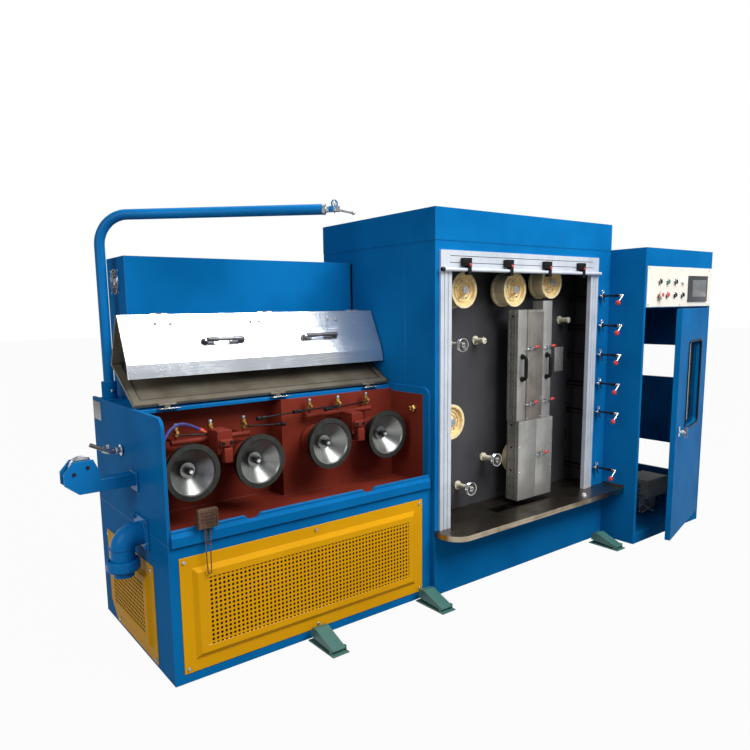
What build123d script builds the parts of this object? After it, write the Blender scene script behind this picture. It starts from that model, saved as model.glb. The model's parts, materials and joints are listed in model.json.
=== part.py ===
from build123d import *
import os
from math import atan2, cos, degrees, hypot, radians, sin

# Wire drawing machine: a drawing section with four cone capstans, an annealer tower and a
# take-off cabinet. Millimetres, +Z up. The origin is on the floor, in the middle of the
# tower's footprint. +X runs along the wire's way from inlet to take-off, -Y faces the operator.

# Main sizes
tower_width = 1540.0
tower_depth = 988.0
tower_height = 2040.0
hood_height = 162.0
hood_proud = 2.0
skirt_height = 359.0
drawing_length = 1445.0
drawing_set_back = 31.0
cabinet_width = 837.0
cabinet_drop = 156.0
cabinet_proud = 238.0

# Stations worked out from the main sizes
drawing_depth = tower_depth - 2 * drawing_set_back
cabinet_height = tower_height - cabinet_drop
hood_seam = tower_height - hood_height
tower_left = -tower_width / 2
tower_right = tower_width / 2
tower_front = -tower_depth / 2
tower_back = tower_depth / 2
drawing_left = tower_left - drawing_length
drawing_right = tower_left
drawing_front = -drawing_depth / 2
drawing_back = drawing_depth / 2
cabinet_left = tower_right
cabinet_right = tower_right + cabinet_width
cabinet_front = tower_front - cabinet_proud
cabinet_back = tower_back

# Clearances
bore_clearance = 0.05
moving_gap = 6.0

# Drawing section
base_height = 606.0
plate_thickness = 14.0
plate_top = 1130.0
plate_corner_rise = 42.0
plate_corner_run = 50.0
lining_sheet = 2.0
lining_front = 45.0
lining_top_drop = 14.0
rail_top = 668.0
rail_shoulder = 640.0
rail_proud = 14.0
rail_wall = 10.0
notch_depth = 20.0
notch_top_width = 80.0
notch_bottom_width = 45.0
notch_shares = (0.2678, 0.7121)
floor_top = 620.0
lining_thickness = 10.0
left_wall_depth = 420.0
right_wall_depth = 300.0
wall_step_x = drawing_length / 2
deck_front = 318.0
deck_top = 1122.0
deck_lip = 16.0
rear_box_inset = 114.0
arm_height = 1995.0
arm_clearance = 189.0
lid_hinge_y = 325.0
lid_open_angle = 31.5
lid_top_length = 327.0
lid_back_gap = 61.19
lid_back = lid_hinge_y + lid_top_length * cos(radians(lid_open_angle))
rear_box_front = lid_back + lid_back_gap
rear_box_depth = drawing_depth - rear_box_front
rear_box_top = arm_height - arm_clearance

# Fan on the end of the rear box
fan_radius = 0.2375 * rear_box_depth
fan_y = rear_box_front + 0.5479 * rear_box_depth
fan_z = rear_box_top - 114.0
fan_ring = 8.0
fan_ring_height = 5.0

# Perforated panels
panel_margin_left = 42.0
panel_margin_right = 65.0
panel_bottom = 42.0
panel_top = 547.0
panel_flange = 52.0
panel_bevel = 22.0
panel_sheet = 3.0
panel_rise = 16.0
panel_field = 58.0
panel_field_depth = 2.0
side_panel_front = 184.0
side_panel_back = drawing_depth - 100.0
side_panel_bottom = 15.0
side_panel_top = 467.0
side_panel_chamfer = 60.0

# Cone capstans
cone_shares = (0.1246, 0.3516, 0.6221, 0.8734)
low_cone_z = 859.0
high_cone_z = 889.0
cone_stations = tuple(
    (share * drawing_length, high_cone_z if share > 0.5 else low_cone_z) for share in cone_shares
)
cone_front = 130.0
cone_radius = 0.0865 * drawing_length
cone_rim = 22.0
cone_rim_thickness = 22.0
cone_steps = 5
cone_step_length = 19.0
cone_step_drop = 11.0
dish_depth = 62.0
dish_floor_radius = 34.0
hub_radius = 17.0
hub_length = 26.0
nut_radius = 9.0
nut_length = 12.0
shaft_radius = 22.0
shaft_engagement = 30.0
bearing_radius = 74.0
bearing_nose_radius = 52.0
bearing_nose = 22.0

# Die holders, coolant pipes and spray valves
die_gap = 4.0
die_stations = (
    (cone_stations[0][0] + cone_stations[1][0]) / 2,
    (cone_stations[2][0] + cone_stations[3][0]) / 2,
)
die_holder_width = cone_stations[1][0] - cone_stations[0][0] - 2 * (cone_radius + die_gap)
die_holder_height = 105.0
die_holder_depth = 96.0
die_holder_z = 915.0
valve_row_y = 262.0
low_valve_z = 1014.0
high_valve_z = 1059.0
valve_rows = (
    (low_valve_z, [share * drawing_length for share in (0.1128, 0.2256, 0.3419)]),
    (high_valve_z, [share * drawing_length for share in (0.5972, 0.7176, 0.845)]),
)
valve_radius = 10.0
valve_length = 46.0
manifold_radius = 13.0
manifold_drop = 42.0
plug_y = 111.0
plug_z = 1014.0
plug_radius = 20.0
plug_length = 20.0
plug_tip_radius = 13.0
plug_tip_length = 18.0

# Lid and its flap, shown open
lid_hinge_z = 1138.0
lid_front_length = 247.0
lid_front_angle = 115.4
lid_thickness = 12.0
lid_sheet = 4.0
lid_lip = 38.0
lid_side_gap_left = 10.0
lid_side_gap_right = 8.0
flap_length = 303.0
flap_angle = 245.8
flap_thickness = 12.0
flap_sheet = 3.0
flap_lip = 62.0
flap_lip_angle = 14.0
hinge_offset = 6.0
knuckle_radius = 5.5
hinge_pin_radius = 3.0
hinge_width = 26.0
lid_hinge_stations = [share * drawing_length for share in (0.108, 0.499, 0.89)]
flap_hinge_stations = [share * drawing_length for share in (0.1405, 0.5232, 0.9059)]
handle_length = 210.0
handle_bar = 13.0
handle_standoff = 34.0
flap_handle_stations = [share * drawing_length for share in (0.3377, 0.7211)]
flap_handle_drop = 150.0

# Payoff arm on the rear left corner of the deck
arm_x = 40.0
arm_y = rear_box_front + 0.4023 * rear_box_depth
arm_radius = 24.15
arm_bend = 140.0
arm_reach = 1067.0
arm_direction = -40.0
socket_radius = 36.0
socket_height = 84.0
socket_plate = 92.0
socket_plate_thickness = 8.0
neck_radius = 13.0
neck_length = 46.0
ring_radius = 19.0
ring_wire = 3.5
ring_rise = 24.0
tip_reach = 132.0
tip_drop = 20.0
tip_ball_radius = 8.0

# Wire inlet on the left wall
inlet_y = 345.0
inlet_low = 800.0
inlet_high = 850.0
inlet_width = 70.0
inlet_reach = 300.0
inlet_flange = 110.0
inlet_flange_thickness = 8.0
cheek_thickness = 7.0
cheek_top = 940.0
cheek_corner = 45.0
cheek_nose = 40.0
cheek_foot = 56.0
roller_x = -222.0
roller_z = 912.0
roller_radius = 50.0
roller_width = 40.0
roller_pin_radius = 9.0

# Drain elbow and ball valve on the left wall
drain_y = 292.0
drain_flange_width = 166.0
drain_flange_height = 132.0
drain_flange_z = 598.0
drain_pipe_x = -92.0
drain_pipe_radius = 52.0
drain_bend = 58.0
drain_collar_radius = 71.0
drain_collar_z = 452.0
drain_collar_height = 34.0
drain_stub_radius = 44.0
drain_bottom = 418.0
valve_y = 501.0
valve_z = 926.0
valve_pipe_radius = 13.0
valve_pipe_reach = 60.0
valve_tube_radius = 9.0
valve_tube_length = 90.0
valve_tube_rise = 26.0
valve_cap_radius = 8.0
valve_cap_rise = 28.0

# Pulling clamp hung on the front rail
clamp_x = 0.1128 * drawing_length
clamp_width = 92.0
clamp_height = 104.0
clamp_lift = 20.0
clamp_depth = 26.0
loop_drop = 168.0
loop_radius = 3.0

# Annealer compartment in the tower
compartment_depth = 221.0
compartment_skin = 10.0
left_cheek = 28.0
right_cheek = 25.0
right_strip = 146.0
strip_thickness = 8.0
header_height = 48.0
header_bottom = hood_seam - header_height
post_width = 78.0
post_proud = 12.0
post_depth = 26.0
beam_height = 96.0
groove_width = 5.0
groove_depth = 4.0
return_sheet = 3.0
bar_drop = 98.0
bar_z = header_bottom - bar_drop
bar_proud = 27.0
bar_radius = 10.0
bar_left = 24.0
bar_right = 148.0
bar_clamp_stations = [share * tower_width for share in (0.1266, 0.3409, 0.5584, 0.7714)]
bar_clamp_width = 58.0
bar_clamp_height = 50.0
bar_clamp_depth = 30.0

tray_sheet = 3.0
compartment_floor = skirt_height + tray_sheet


def opening_place(width_share, height_share):
    """Place in the compartment's opening: share of the tower's width and of the opening's height."""
    height = compartment_floor + height_share * (header_bottom - compartment_floor)
    return (width_share * tower_width, height)


# Contact wheels: the upper three hang a set drop below the header
upper_wheel_shares = ((0.1922, 198.0), (0.4636, 194.0), (0.6825, 149.0))
contact_wheels = tuple((share * tower_width, header_bottom - drop) for share, drop in upper_wheel_shares)
lower_wheels = (opening_place(0.1338, 0.3794), opening_place(0.5429, 0.1751))
wheel_radius = 97.0
wheel_width = 100.0
wheel_standoff = 40.0
wheel_boss_radius = 34.0
wheel_boss_length = 30.0
wheel_shaft_radius = 16.0
wheel_shaft_engagement = 24.0

# Roller posts and guide discs
post_stations = (opening_place(0.3448, 0.6717), opening_place(0.8604, 0.7398))
disc_stations = (
    opening_place(0.2058, 0.6621),
    opening_place(0.3968, 0.1901),
    opening_place(0.2565, 0.0954),
)
post_flange_radius = 26.0
post_flange_thickness = 8.0
post_body_radius = 15.0
post_length = 62.0
post_cap_radius = 17.0
post_cap_length = 14.0
disc_post_length = 84.0
disc_radius = 40.0
disc_width = 20.0
disc_pin_radius = 8.0
disc_pin_length = 14.0

# Annealing tube box
box_left = 0.4591 * tower_width
box_width = 310.0
box_front = 41.0
box_depth = 82.0
box_bottom = compartment_floor + 23.0
box_wheel_gap = 19.0
box_right_wheel_gap = 13.0
box_top = contact_wheels[1][1] - wheel_radius - box_wheel_gap
box_right_top = contact_wheels[2][1] - wheel_radius - box_right_wheel_gap
box_split = opening_place(0, 0.3433)[1]
box_strip_left = 78.0
box_strip_right = 87.0
box_cover_rise = 8.0
box_lower_rise = 14.0
box_standoff_radius = 18.0
box_standoff_low = 60.0
box_standoff_middle = 90.0
box_standoff_high = 120.0
cover_handle_length = 140.0
cover_handle_z = opening_place(0, 0.5586)[1]
left_toggle = box_strip_left + 18.0
right_toggle = box_width - box_strip_right + 39.0
toggle_stations = (
    (left_toggle, opening_place(0, 0.6369)[1]),
    (right_toggle, opening_place(0, 0.6369)[1]),
    (left_toggle, opening_place(0, 0.4128)[1]),
    (right_toggle, opening_place(0, 0.4155)[1]),
    (box_width - 110.0, opening_place(0, 0.1962)[1]),
)
toggle_plate_width = 40.0
toggle_plate_height = 24.0
toggle_plate_thickness = 10.0
toggle_grip_length = 60.0
toggle_grip_radius = 7.0

# Crank spindles
spindle_x = tower_width - 100.0
spindle_top = header_bottom - 234.0
spindle_bottom = compartment_floor + 126.4
spindle_slots = 7
spindle_pitch = (spindle_top - spindle_bottom) / (spindle_slots - 1)
empty_slot = 5
spindle_radius = 6.5
spindle_front = 155.0
slot_width = 20.0
slot_height = 75.0
pocket_depth = 60.0
pocket_half = 32.0
spindle_end_gap = 4.0
bush_radius = 15.0
bush_length = 24.0
crank_radius = 64.0
crank_angle = 223.0
crank_bar = 12.0
crank_thickness = 6.0
knob_radius = 13.0
knob_seat = 0.8

# Drip tray in front of the compartment
tray_proud = 160.0
tray_skirt = 30.0
tray_corner = 105.0
tray_end_lip = 16.0
tray_knob_x = 0.7701 * tower_width
tray_knob_set_out = 104.0
tray_knob_radius = 12.0
tray_knob_height = 14.0

# Take-off cabinet
cabinet_wall = 20.0
head_height = 368.0
head_bottom = cabinet_height - head_height
control_height = 250.0
control_inset_right = 7.0
control_bottom = head_bottom + moving_gap
control_top = control_bottom + control_height
control_sheet = 4.0
button_row_top = control_bottom + 158.0
button_row_bottom = control_bottom + 75.0
button_stations = [share * cabinet_width for share in (0.1888, 0.3011, 0.4134, 0.5257)]
button_collar = 4.0
button_radius = 15.0
button_length = 14.0
mushroom_radius = 24.0
screen_left = 0.6141 * cabinet_width
screen_width = 0.2987 * cabinet_width
screen_bottom = control_bottom + 32.0
screen_height = 166.0
screen_rise = 8.0
window_front = 212.0
window_width = 268.0
upper_window_bottom = 0.6669 * head_bottom
upper_window_height = 0.1544 * head_bottom
lower_window_bottom = 0.2157 * head_bottom
lower_window_height = 0.1332 * head_bottom
plinth_height = 64.0
drive_inset_right = 107.0
drive_width = 260.0
drive_depth = 190.0
drive_bottom = plinth_height + 111.0
drive_height = 130.0
drive_foot_inset = 50.0
drive_y = 175.0
drive_shaft_z = drive_bottom + 70.0
drive_shaft_length = 135.0
drive_shaft_radius = 24.0
drive_pulley_width = 55.0
drive_pulley_radius = 60.0

# Cabinet door between the side walls, shown 15 degrees open
door_bottom = 70.0
door_top = head_bottom - moving_gap
door_height = door_top - door_bottom
door_width = cabinet_width - 67.0
door_thickness = 32.0
door_skin = 3.0
door_open_angle = 15.2
door_window_left = 170.0
door_window_width = door_width - 395.0
door_window_bottom = door_bottom + 0.4667 * door_height
door_window_height = 0.3889 * door_height
door_window_radius = 34.0
pane_thickness = 4.0
lock_height = door_bottom + 0.4771 * door_height
lock_inset = 60.0
lock_plate_width = 36.0
lock_plate_height = 60.0
lock_plate_thickness = 6.0
lock_stem_radius = 8.0
lock_stem_length = 34.0
lock_grip_width = 20.0
lock_grip_length = 64.0
lock_grip_thickness = 12.0
door_hinge_inset = 27.0
door_edge_gap = 2.5
door_outer_set = 3.0
hinge_leaf = 5.0

# Foot switches: place from the drawing section's left side, and what each stands in front of
pedal_stations = (0.4775 * drawing_length, 0.9474 * drawing_length, drawing_length + 0.9045 * tower_width)
pedal_backs = (drawing_front, drawing_front, tower_front)
pedal_gaps = (14.0, 14.0, 43.0)
pedal_length = 204.0
pedal_width = 90.0
pedal_plate = 5.0
treadle_width = 72.0
treadle_length = 158.0
treadle_height = 70.0
treadle_inset = 26.0
treadle_pin_radius = 4.0
lug_gap = 2.0
lug_thickness = 4.0

parts_folder = "parts"
os.makedirs(parts_folder, exist_ok=True)


def save(builder, name):
    """Label a finished piece and write it as one STEP file."""
    builder.part.label = name
    export_step(builder.part, f"{parts_folder}/{name}.step")


def block(x0, x1, y0, y1, z0, z1, mode=Mode.ADD):
    """Rectangular block between two corners, inside the current part."""
    with Locations(((x0 + x1) / 2, (y0 + y1) / 2, (z0 + z1) / 2)):
        Box(x1 - x0, y1 - y0, z1 - z0, mode=mode)


def prism_x(points, x0, x1, mode=Mode.ADD):
    """Closed outline of Y-Z points pushed from x0 to x1, inside the current part."""
    with BuildSketch(Plane.YZ.offset(x0)) as outline:
        with BuildLine():
            Polyline(*points, close=True)
        make_face()
    extrude(outline.sketch, amount=x1 - x0, mode=mode)


def prism_y(points, y0, y1, mode=Mode.ADD):
    """Closed outline of X-Z points pushed back from y0 to y1, inside the current part."""
    with BuildSketch(Plane.XZ.offset(-y0)) as outline:
        with BuildLine():
            Polyline(*points, close=True)
        make_face()
    extrude(outline.sketch, amount=y0 - y1, mode=mode)


def rod_y(x, y0, y1, z, radius, mode=Mode.ADD):
    """Round bar along Y from y0 to y1, inside the current part."""
    with Locations(Location((x, (y0 + y1) / 2, z), (90, 0, 0))):
        Cylinder(radius, abs(y1 - y0), mode=mode)


def rod_x(x0, x1, y, z, radius, mode=Mode.ADD):
    """Round bar along X from x0 to x1, inside the current part."""
    with Locations(Location(((x0 + x1) / 2, y, z), (0, 90, 0))):
        Cylinder(radius, abs(x1 - x0), mode=mode)


def rod_z(x, y, z0, z1, radius, mode=Mode.ADD):
    """Round bar along Z from z0 to z1, inside the current part."""
    with Locations((x, y, (z0 + z1) / 2)):
        Cylinder(radius, z1 - z0, mode=mode)


def dx(value):
    """X of a place measured from the drawing section's left side."""
    return drawing_left + value


def dy(value):
    """Y of a place measured back from the drawing section's front."""
    return drawing_front + value


def tx(value):
    """X of a place measured from the tower's left side."""
    return tower_left + value


def ty(value):
    """Y of a place measured back from the tower's front."""
    return tower_front + value


# Closed housing of the drawing section: its base, and the gear case behind the stepped wall
with BuildPart() as drawing_base:
    block(drawing_left, drawing_right, drawing_front, drawing_back, 0, base_height)
    with BuildSketch(Plane.XY.offset(base_height)):
        with BuildLine():
            Polyline(
                (drawing_left + plate_thickness, dy(left_wall_depth + lining_thickness)),
                (dx(wall_step_x + lining_thickness), dy(left_wall_depth + lining_thickness)),
                (dx(wall_step_x + lining_thickness), dy(right_wall_depth + lining_thickness)),
                (drawing_right - plate_thickness, dy(right_wall_depth + lining_thickness)),
                (drawing_right - plate_thickness, drawing_back),
                (drawing_left + plate_thickness, drawing_back),
                close=True,
            )
        make_face()
    extrude(amount=deck_top - deck_lip - base_height)
save(drawing_base, "drawing_base")

# Front rail with two notches, folded out over the base
with BuildPart() as front_rail:
    prism_x(
        (
            (drawing_front - rail_proud, base_height - moving_gap),
            (drawing_front - rail_proud, rail_shoulder),
            (drawing_front - rail_proud / 3, rail_shoulder + rail_proud),
            (drawing_front - rail_proud / 3, rail_top),
            (drawing_front + rail_wall, rail_top),
            (drawing_front + rail_wall, base_height),
            (drawing_front, base_height),
            (drawing_front, base_height - moving_gap),
        ),
        drawing_left + plate_thickness,
        drawing_right - plate_thickness,
    )
    for notch_share in notch_shares:
        notch_x = notch_share * drawing_length
        prism_y(
            (
                (dx(notch_x) - notch_top_width / 2, rail_top),
                (dx(notch_x) - notch_bottom_width / 2, rail_top - notch_depth),
                (dx(notch_x) + notch_bottom_width / 2, rail_top - notch_depth),
                (dx(notch_x) + notch_top_width / 2, rail_top),
            ),
            drawing_front - rail_proud,
            drawing_front + rail_wall,
            mode=Mode.SUBTRACT,
        )
save(front_rail, "front_rail")


# Side walls of the process compartment, each with a rounded front top corner
with BuildPart() as side_plates:
    for outer_x, thickness in (
        (drawing_left, plate_thickness),
        (drawing_right, -plate_thickness),
    ):
        with BuildSketch(Plane.YZ.offset(outer_x)):
            with BuildLine():
                front_edge = Line(
                    (drawing_front, base_height),
                    (drawing_front, plate_top - plate_corner_rise),
                )
                ThreePointArc(
                    front_edge @ 1,
                    (
                        dy(plate_corner_run * (1 - cos(radians(45)))),
                        plate_top - plate_corner_rise * (1 - sin(radians(45))),
                    ),
                    (dy(plate_corner_run), plate_top),
                )
                Polyline(
                    (dy(plate_corner_run), plate_top),
                    (drawing_back, plate_top),
                    (drawing_back, base_height),
                    (drawing_front, base_height),
                )
            make_face()
        extrude(amount=thickness)
save(side_plates, "side_plates")

# Process lining: floor, stepped back wall and thin side sheets
with BuildPart() as process_lining:
    for lining_x, reach in (
        (drawing_left + plate_thickness, left_wall_depth),
        (drawing_right - plate_thickness - lining_sheet, right_wall_depth),
    ):
        block(
            lining_x,
            lining_x + lining_sheet,
            dy(lining_front),
            dy(reach),
            floor_top,
            deck_top - deck_lip - lining_top_drop,
        )
    block(
        drawing_left + plate_thickness,
        drawing_right - plate_thickness,
        drawing_front + rail_wall,
        dy(left_wall_depth + lining_thickness),
        base_height,
        floor_top,
    )
    block(
        dx(wall_step_x + lining_thickness),
        drawing_right - plate_thickness,
        dy(right_wall_depth + lining_thickness),
        dy(left_wall_depth + lining_thickness),
        base_height,
        floor_top,
        mode=Mode.SUBTRACT,
    )
    with BuildSketch(Plane.XY.offset(floor_top)):
        with BuildLine():
            Polyline(
                (drawing_left + plate_thickness, dy(left_wall_depth)),
                (dx(wall_step_x), dy(left_wall_depth)),
                (dx(wall_step_x), dy(right_wall_depth)),
                (drawing_right - plate_thickness, dy(right_wall_depth)),
                (drawing_right - plate_thickness, dy(right_wall_depth + lining_thickness)),
                (dx(wall_step_x + lining_thickness), dy(right_wall_depth + lining_thickness)),
                (dx(wall_step_x + lining_thickness), dy(left_wall_depth + lining_thickness)),
                (drawing_left + plate_thickness, dy(left_wall_depth + lining_thickness)),
                close=True,
            )
        make_face()
    extrude(amount=deck_top - deck_lip - floor_top)
save(process_lining, "process_lining")

# Top deck with the rail and fixed knuckles that carry the lid
with BuildPart() as top_deck:
    block(
        drawing_left + plate_thickness,
        drawing_right - plate_thickness,
        dy(deck_front),
        drawing_back,
        deck_top - deck_lip,
        deck_top,
    )
    for hinge_x in lid_hinge_stations:
        block(
            dx(hinge_x) - hinge_width / 2,
            dx(hinge_x) + hinge_width / 2,
            dy(lid_hinge_y) - knuckle_radius / 2,
            dy(lid_hinge_y) + knuckle_radius / 2,
            deck_top - lid_sheet,
            lid_hinge_z,
        )
        rod_x(
            dx(hinge_x) - hinge_width / 2,
            dx(hinge_x) + hinge_width / 2,
            dy(lid_hinge_y),
            lid_hinge_z,
            knuckle_radius,
        )
        rod_x(
            dx(hinge_x) - 1.5 * hinge_width,
            dx(hinge_x) + 1.5 * hinge_width,
            dy(lid_hinge_y),
            lid_hinge_z,
            hinge_pin_radius,
        )
save(top_deck, "top_deck")

# Tall box at the back of the deck with a round fan on its left end
with BuildPart() as rear_box:
    block(
        drawing_left + rear_box_inset,
        drawing_right - plate_thickness,
        dy(rear_box_front),
        drawing_back,
        deck_top,
        rear_box_top,
    )
    with BuildSketch(Plane.YZ.offset(drawing_left + rear_box_inset)):
        with Locations((dy(fan_y), fan_z)):
            Circle(fan_radius)
            Circle(fan_radius - fan_ring, mode=Mode.SUBTRACT)
            Circle(fan_radius / 3)
            Rectangle(2 * fan_radius - fan_ring, fan_ring / 2)
            Rectangle(fan_ring / 2, 2 * fan_radius - fan_ring)
    extrude(amount=-fan_ring_height)
save(rear_box, "rear_box")


def pressed_panel(plane, width, height, cut_corner):
    """Panel pressed from one sheet: flat flange, bevelled step and a sunk field."""
    with BuildPart() as panel:
        with BuildSketch(plane):
            Rectangle(width, height, align=(Align.MIN, Align.MIN))
            if cut_corner:
                with Locations((0, 0)):
                    Rectangle(2 * cut_corner, 2 * cut_corner, rotation=45, mode=Mode.SUBTRACT)
        extrude(amount=panel_sheet)
        step_width = width - 2 * panel_flange
        step_height = height - 2 * panel_flange
        with BuildSketch(plane.offset(panel_sheet)):
            with Locations((width / 2, height / 2)):
                Rectangle(step_width, step_height)
        with BuildSketch(plane.offset(panel_rise)):
            with Locations((width / 2, height / 2)):
                Rectangle(step_width - 2 * panel_bevel, step_height - 2 * panel_bevel)
        loft()
        with BuildSketch(plane.offset(panel_rise - panel_field_depth)):
            with Locations((width / 2, height / 2)):
                Rectangle(
                    step_width - 2 * panel_bevel - panel_field,
                    step_height - 2 * panel_bevel - panel_field,
                )
        extrude(amount=panel_field_depth, mode=Mode.SUBTRACT)
    return panel


front_panel_plane = Plane(
    origin=(drawing_left + panel_margin_left, drawing_front, panel_bottom),
    x_dir=(1, 0, 0),
    z_dir=(0, -1, 0),
)
save(
    pressed_panel(
        front_panel_plane,
        drawing_length - panel_margin_left - panel_margin_right,
        panel_top - panel_bottom,
        0,
    ),
    "front_panel",
)

side_panel_plane = Plane(
    origin=(drawing_left, dy(side_panel_back), side_panel_bottom),
    x_dir=(0, -1, 0),
    z_dir=(-1, 0, 0),
)
save(
    pressed_panel(
        side_panel_plane,
        side_panel_back - side_panel_front,
        side_panel_top - side_panel_bottom,
        side_panel_chamfer,
    ),
    "side_panel",
)


def stepped_cone(station):
    """Cone capstan: wear rings that step down to the back, a turned dish in front, hub and nut."""
    cone_x, cone_z = station
    front_y = dy(cone_front)
    back = cone_rim_thickness + cone_steps * cone_step_length
    shaft_end = dy(bearing_face(cone_x)) + shaft_engagement - front_y
    axis_plane = Plane(origin=(dx(cone_x), front_y, cone_z), x_dir=(1, 0, 0), z_dir=(0, 0, 1))
    outline = [
        (nut_radius, dish_depth - hub_length - nut_length),
        (nut_radius, dish_depth - hub_length),
        (hub_radius, dish_depth - hub_length),
        (hub_radius, dish_depth),
        (dish_floor_radius, dish_depth),
        (cone_radius - cone_rim - cone_rim / 4, cone_rim / 3),
        (cone_radius - cone_rim, 0),
        (cone_radius, 0),
        (cone_radius, cone_rim_thickness),
    ]
    for step in range(cone_steps):
        radius = cone_radius - cone_step_drop * (step + 1)
        start = cone_rim_thickness + step * cone_step_length
        outline.append((radius, start))
        outline.append((radius, start + cone_step_length))
    outline.append((shaft_radius, back))
    outline.append((shaft_radius, shaft_end))
    outline.append((0, shaft_end))
    outline.append((0, dish_depth - hub_length - nut_length))
    with BuildPart() as cone:
        with BuildSketch(axis_plane):
            with BuildLine():
                Polyline(*outline, close=True)
            make_face()
        revolve(axis=Axis((dx(cone_x), front_y, cone_z), (0, 1, 0)))
    return cone


def bearing_face(cone_x):
    """Front face of a cone's bearing housing, measured back from the front."""
    return cone_front + cone_rim_thickness + cone_steps * cone_step_length + moving_gap


def wall_depth(cone_x):
    """Depth of the back wall behind a place along the drawing section."""
    return left_wall_depth if cone_x < wall_step_x else right_wall_depth


# Bearing housings that stand out from the back wall
with BuildPart() as bearings:
    for cone_x, cone_z in cone_stations:
        face = bearing_face(cone_x)
        rod_y(dx(cone_x), dy(face), dy(wall_depth(cone_x)), cone_z, bearing_nose_radius)
        rod_y(dx(cone_x), dy(face + bearing_nose), dy(wall_depth(cone_x)), cone_z, bearing_radius)
        rod_y(
            dx(cone_x),
            dy(face),
            dy(face + shaft_engagement + 2),
            cone_z,
            shaft_radius + bore_clearance,
            mode=Mode.SUBTRACT,
        )
save(bearings, "bearing_housings")

for number, station in enumerate(cone_stations, start=1):
    save(stepped_cone(station), f"cone_capstan_{number}")

# Die holders between the cones, each on an arm from the back wall, with its lever
with BuildPart() as die_holders:
    for die_x in die_stations:
        reach = wall_depth(die_x)
        block(
            dx(die_x) - die_holder_width / 2,
            dx(die_x) + die_holder_width / 2,
            dy(cone_front + cone_rim_thickness),
            dy(cone_front + cone_rim_thickness + die_holder_depth),
            die_holder_z,
            die_holder_z + die_holder_height,
        )
        block(
            dx(die_x) - die_holder_width / 4,
            dx(die_x) + die_holder_width / 4,
            dy(cone_front + cone_rim_thickness + die_holder_depth),
            dy(reach),
            die_holder_z + die_holder_height / 8,
            die_holder_z + die_holder_height * 3 / 8,
        )
        block(
            dx(die_x) - die_holder_width / 4,
            dx(die_x) + die_holder_width / 4,
            dy(cone_front + cone_rim_thickness),
            dy(cone_front + cone_rim_thickness + die_holder_depth / 2),
            die_holder_z - die_holder_height / 3,
            die_holder_z,
        )
save(die_holders, "die_holders")

# Coolant pipes along the back wall, with a riser to each spray valve
with BuildPart() as coolant_pipes:
    for valve_z_row, valve_xs in valve_rows:
        manifold_z = valve_z_row - manifold_drop
        rod_x(
            dx(valve_xs[0]) - 2 * manifold_radius,
            dx(valve_xs[-1]) + 2 * manifold_radius,
            dy(valve_row_y),
            manifold_z,
            manifold_radius,
        )
        for valve_x in valve_xs:
            riser_top = valve_z_row - valve_length / 4
            rod_z(dx(valve_x), dy(valve_row_y), manifold_z, riser_top, valve_radius - 2)
        for support_x in (valve_xs[0], valve_xs[-1]):
            rod_y(
                dx(support_x),
                dy(valve_row_y),
                dy(wall_depth(support_x)),
                manifold_z,
                valve_radius - 2,
            )
save(coolant_pipes, "coolant_pipes")

# Brass spray valves on the risers, and the drain plug on the right wall
with BuildPart() as spray_valves:
    for valve_z_row, valve_xs in valve_rows:
        for valve_x in valve_xs:
            foot = valve_z_row - valve_length / 4
            with Locations((dx(valve_x), dy(valve_row_y), foot + valve_length / 2)):
                Cylinder(valve_radius, valve_length)
            with Locations((dx(valve_x), dy(valve_row_y), foot + valve_length + valve_radius / 2)):
                Cone(valve_radius * 0.8, valve_radius * 0.5, valve_radius)
    plug_face = drawing_right - plate_thickness - lining_sheet
    plug_end = plug_face - plug_length
    rod_x(plug_end, plug_face, dy(plug_y), plug_z, plug_radius)
    rod_x(plug_end - plug_tip_length, plug_end, dy(plug_y), plug_z, plug_tip_radius)
save(spray_valves, "spray_valves")

# Lid: a pan bent across its middle, with a raised lip all round on its inner side
lid_axis = (dy(lid_hinge_y), lid_hinge_z)


def along(start, angle, length):
    """Point at a distance from start in the Y-Z plane; the angle runs from +Y towards +Z."""
    return (start[0] + length * cos(radians(angle)), start[1] + length * sin(radians(angle)))


lid_corner = along(lid_axis, lid_open_angle, lid_top_length)
flap_axis = along(lid_corner, lid_front_angle, lid_front_length)
lid_left = drawing_left + lid_side_gap_left
lid_right = drawing_right - lid_side_gap_right


def hinge_knuckles(axis_point, stations, leaf_angle, leaf_length):
    """Pairs of outer knuckles on an axis, joined to a panel edge by a short leaf."""
    for station in stations:
        for side in (-1, 1):
            inner = dx(station) + side * (hinge_width / 2 + 1)
            outer = inner + side * hinge_width
            low, high = min(inner, outer), max(inner, outer)
            rod_x(low, high, axis_point[0], axis_point[1], knuckle_radius)
            tip = along(axis_point, leaf_angle, leaf_length)
            prism_x(
                (
                    along(axis_point, leaf_angle + 90, knuckle_radius / 3),
                    along(tip, leaf_angle + 90, knuckle_radius / 3),
                    along(tip, leaf_angle - 90, knuckle_radius / 3),
                    along(axis_point, leaf_angle - 90, knuckle_radius / 3),
                ),
                low,
                high,
            )


outer_side = lid_open_angle - 90
front_outer_side = lid_front_angle - 90
half_turn = (lid_front_angle - lid_open_angle) / 2
corner_side = (lid_open_angle + lid_front_angle) / 2 - 90
pan_depth = lid_thickness - lid_sheet
lid_start = along(lid_axis, lid_open_angle, hinge_offset)
lid_end = along(lid_corner, lid_front_angle, lid_front_length - hinge_offset)
pan_start = along(lid_axis, lid_open_angle, hinge_offset + lid_lip)
pan_end = along(lid_corner, lid_front_angle, lid_front_length - hinge_offset - lid_lip)

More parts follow.
